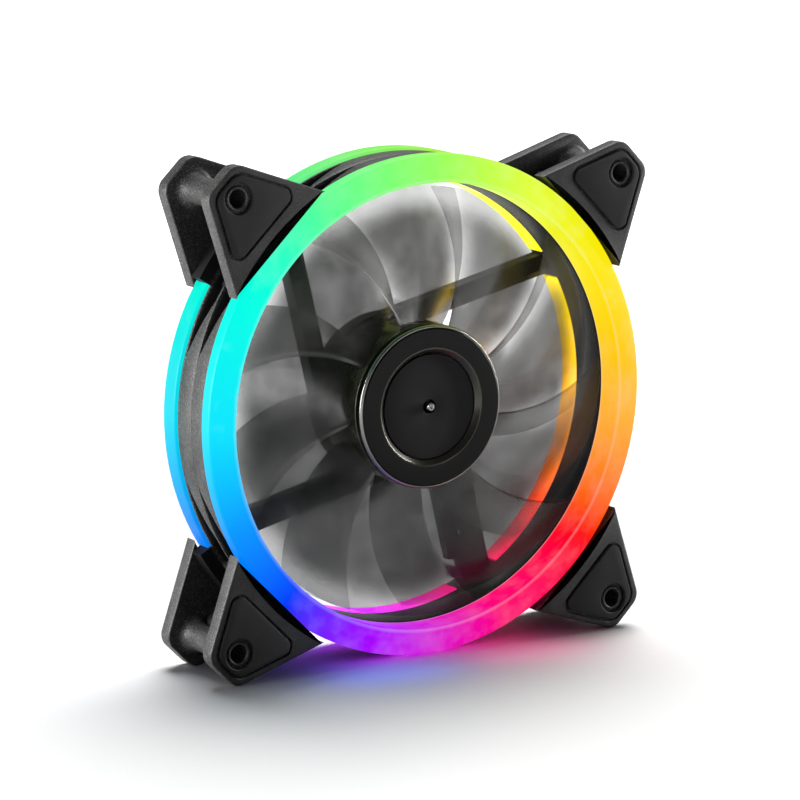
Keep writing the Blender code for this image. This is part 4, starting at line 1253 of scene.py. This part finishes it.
# What the lit ring throws on the floor in front of it, strengthened: x, tint and power.
FLOOR_GLOWS = {
    "blue_glow": (-16 * MM, (0.05, 0.2, 1.0), 0.001),
    "pink_glow": (22 * MM, (1.0, 0.12, 0.45), 0.0008),
}
GLOW_SIZE = (36 * MM, 14 * MM)
GLOW_HEIGHT = 9 * MM
SUN_STRENGTH = 4.0
SUN_ANGLE = math.radians(44)
SUN_PLACE = (0.3, 0.36, 0.88)


def place_camera():
    """A camera in front of the fan, to its left and a little above, rolled a touch."""
    data = bpy.data.cameras.new("camera")
    data.lens, data.sensor_width = CAMERA_LENS, SENSOR_WIDTH
    data.clip_start, data.clip_end = 0.01, 20
    camera = bpy.data.objects.new("camera", data)
    turn = Matrix.Rotation(CAMERA_AZIMUTH, 4, "Z")
    turn @= Matrix.Rotation(math.pi / 2 - CAMERA_ELEVATION, 4, "X")
    place = Vector(CAMERA_TARGET) + Vector((0, 0, AXIS_Z)) + turn @ Vector((0, 0, CAMERA_DISTANCE))
    roll = Matrix.Rotation(CAMERA_ROLL, 4, "Z")
    camera.matrix_world = Matrix.Translation(place) @ turn @ roll
    bpy.context.scene.collection.objects.link(camera)
    bpy.context.scene.camera = camera


def aimed(name, data, place, target):
    lamp = bpy.data.objects.new(name, data)
    lamp.location = place
    lamp.rotation_mode = "QUATERNION"
    lamp.rotation_quaternion = (Vector(target) - Vector(place)).to_track_quat("-Z", "Y")
    bpy.context.scene.collection.objects.link(lamp)
    return lamp


def area_light(name, shape, size, power, place, target, receivers):
    """An area light; receivers is the collection that says what it lights or leaves alone."""
    data = bpy.data.lights.new(name, "AREA")
    data.shape = shape
    data.size, data.size_y = size
    data.energy = power
    lamp = aimed(name, data, place, target)
    lamp.light_linking.receiver_collection = receivers
    return lamp


def build_world():
    """White behind the fan; for the light itself, brighter at the sides and above than in front."""
    world = bpy.data.worlds.new("studio")
    bpy.context.scene.world = world
    world.use_nodes = True
    nodes, link = world.node_tree.nodes, world.node_tree.links.new
    output = next(n for n in nodes if n.type == "OUTPUT_WORLD")
    backdrop = next(n for n in nodes if n.type == "BACKGROUND")
    backdrop.inputs["Color"].default_value = (1, 1, 1, 1)
    backdrop.inputs["Strength"].default_value = 1.0
    split = nodes.new("ShaderNodeSeparateXYZ")
    link(nodes.new("ShaderNodeTexCoord").outputs["Generated"], split.inputs[0])
    depth = nodes.new("ShaderNodeMapRange")
    for key, number in ROOM_LIGHT.items():
        depth.inputs[key].default_value = number
    link(split.outputs["Y"], depth.inputs["Value"])
    room = nodes.new("ShaderNodeBackground")
    link(depth.outputs[0], room.inputs["Strength"])
    mix = nodes.new("ShaderNodeMixShader")
    link(nodes.new("ShaderNodeLightPath").outputs["Is Camera Ray"], mix.inputs[0])
    link(room.outputs[0], mix.inputs[1])
    link(backdrop.outputs[0], mix.inputs[2])
    link(mix.outputs[0], output.inputs["Surface"])


def build_floor():
    builder = bmesh.new()
    z = FRAME_LOW.z - FLOOR_DROP
    places = [FLOOR_HALF * (2 * step / FLOOR_STEPS - 1) for step in range(FLOOR_STEPS + 1)]
    rows = [[builder.verts.new((x, y, z)) for x in places] for y in places]
    for low, high in zip(rows, rows[1:]):
        for step in range(FLOOR_STEPS):
            builder.faces.new((low[step], low[step + 1], high[step + 1], high[step]))
    floor = finish_mesh("floor", builder)
    m = Nodes("floor_white")
    m.set(Base_Color=m.mix(m.noise(0.4, 2.0), (0.9, 0.9, 0.9, 1), (0.93, 0.93, 0.93, 1)))
    m.set(Roughness=0.6, Specular_IOR_Level=0.2)
    x, y, _ = m.parts()
    m.set(Emission_Color=(1, 1, 1, 1))
    m.set(Emission_Strength=m.remap(m.length(x, y), *FLOOR_FADE, 0.0, 0.6, True))
    give(floor, m.material)
    return floor


def light_studio(floor):
    """Softboxes for the fan alone, a glow for the floor, and a broad sun from behind for both."""
    unlit = bpy.data.collections.new("unlit_by_softboxes")
    unlit.objects.link(floor)
    unlit.collection_objects[0].light_linking.link_state = "EXCLUDE"
    for name, (place, size, power) in SOFTBOXES.items():
        area_light(name, "RECTANGLE", size, power, place, (0, 0, AXIS_Z), unlit)
    floor_only = bpy.data.collections.new("lit_by_glow")
    floor_only.objects.link(floor)
    for name, (x, tint, power) in FLOOR_GLOWS.items():
        place = Vector((x, FRONT_RING_FACE - GLOW_HEIGHT, GLOW_HEIGHT))
        below = place - Vector((0, 0, 1))
        lamp = area_light(name, "ELLIPSE", GLOW_SIZE, power, place, below, floor_only)
        lamp.data.color = tint
        lamp.visible_camera = False
    sun = bpy.data.lights.new("floor_sun", "SUN")
    sun.energy = SUN_STRENGTH
    sun.angle = SUN_ANGLE
    aimed("floor_sun", sun, SUN_PLACE, (0, 0, 0))


bpy.context.scene.view_settings.view_transform = "Standard"
place_camera()
build_world()
light_studio(build_floor())
build_frame()
build_rings()
build_pads()
build_blades()
build_hub()
build_rear_label()
finish_cad_nodes()
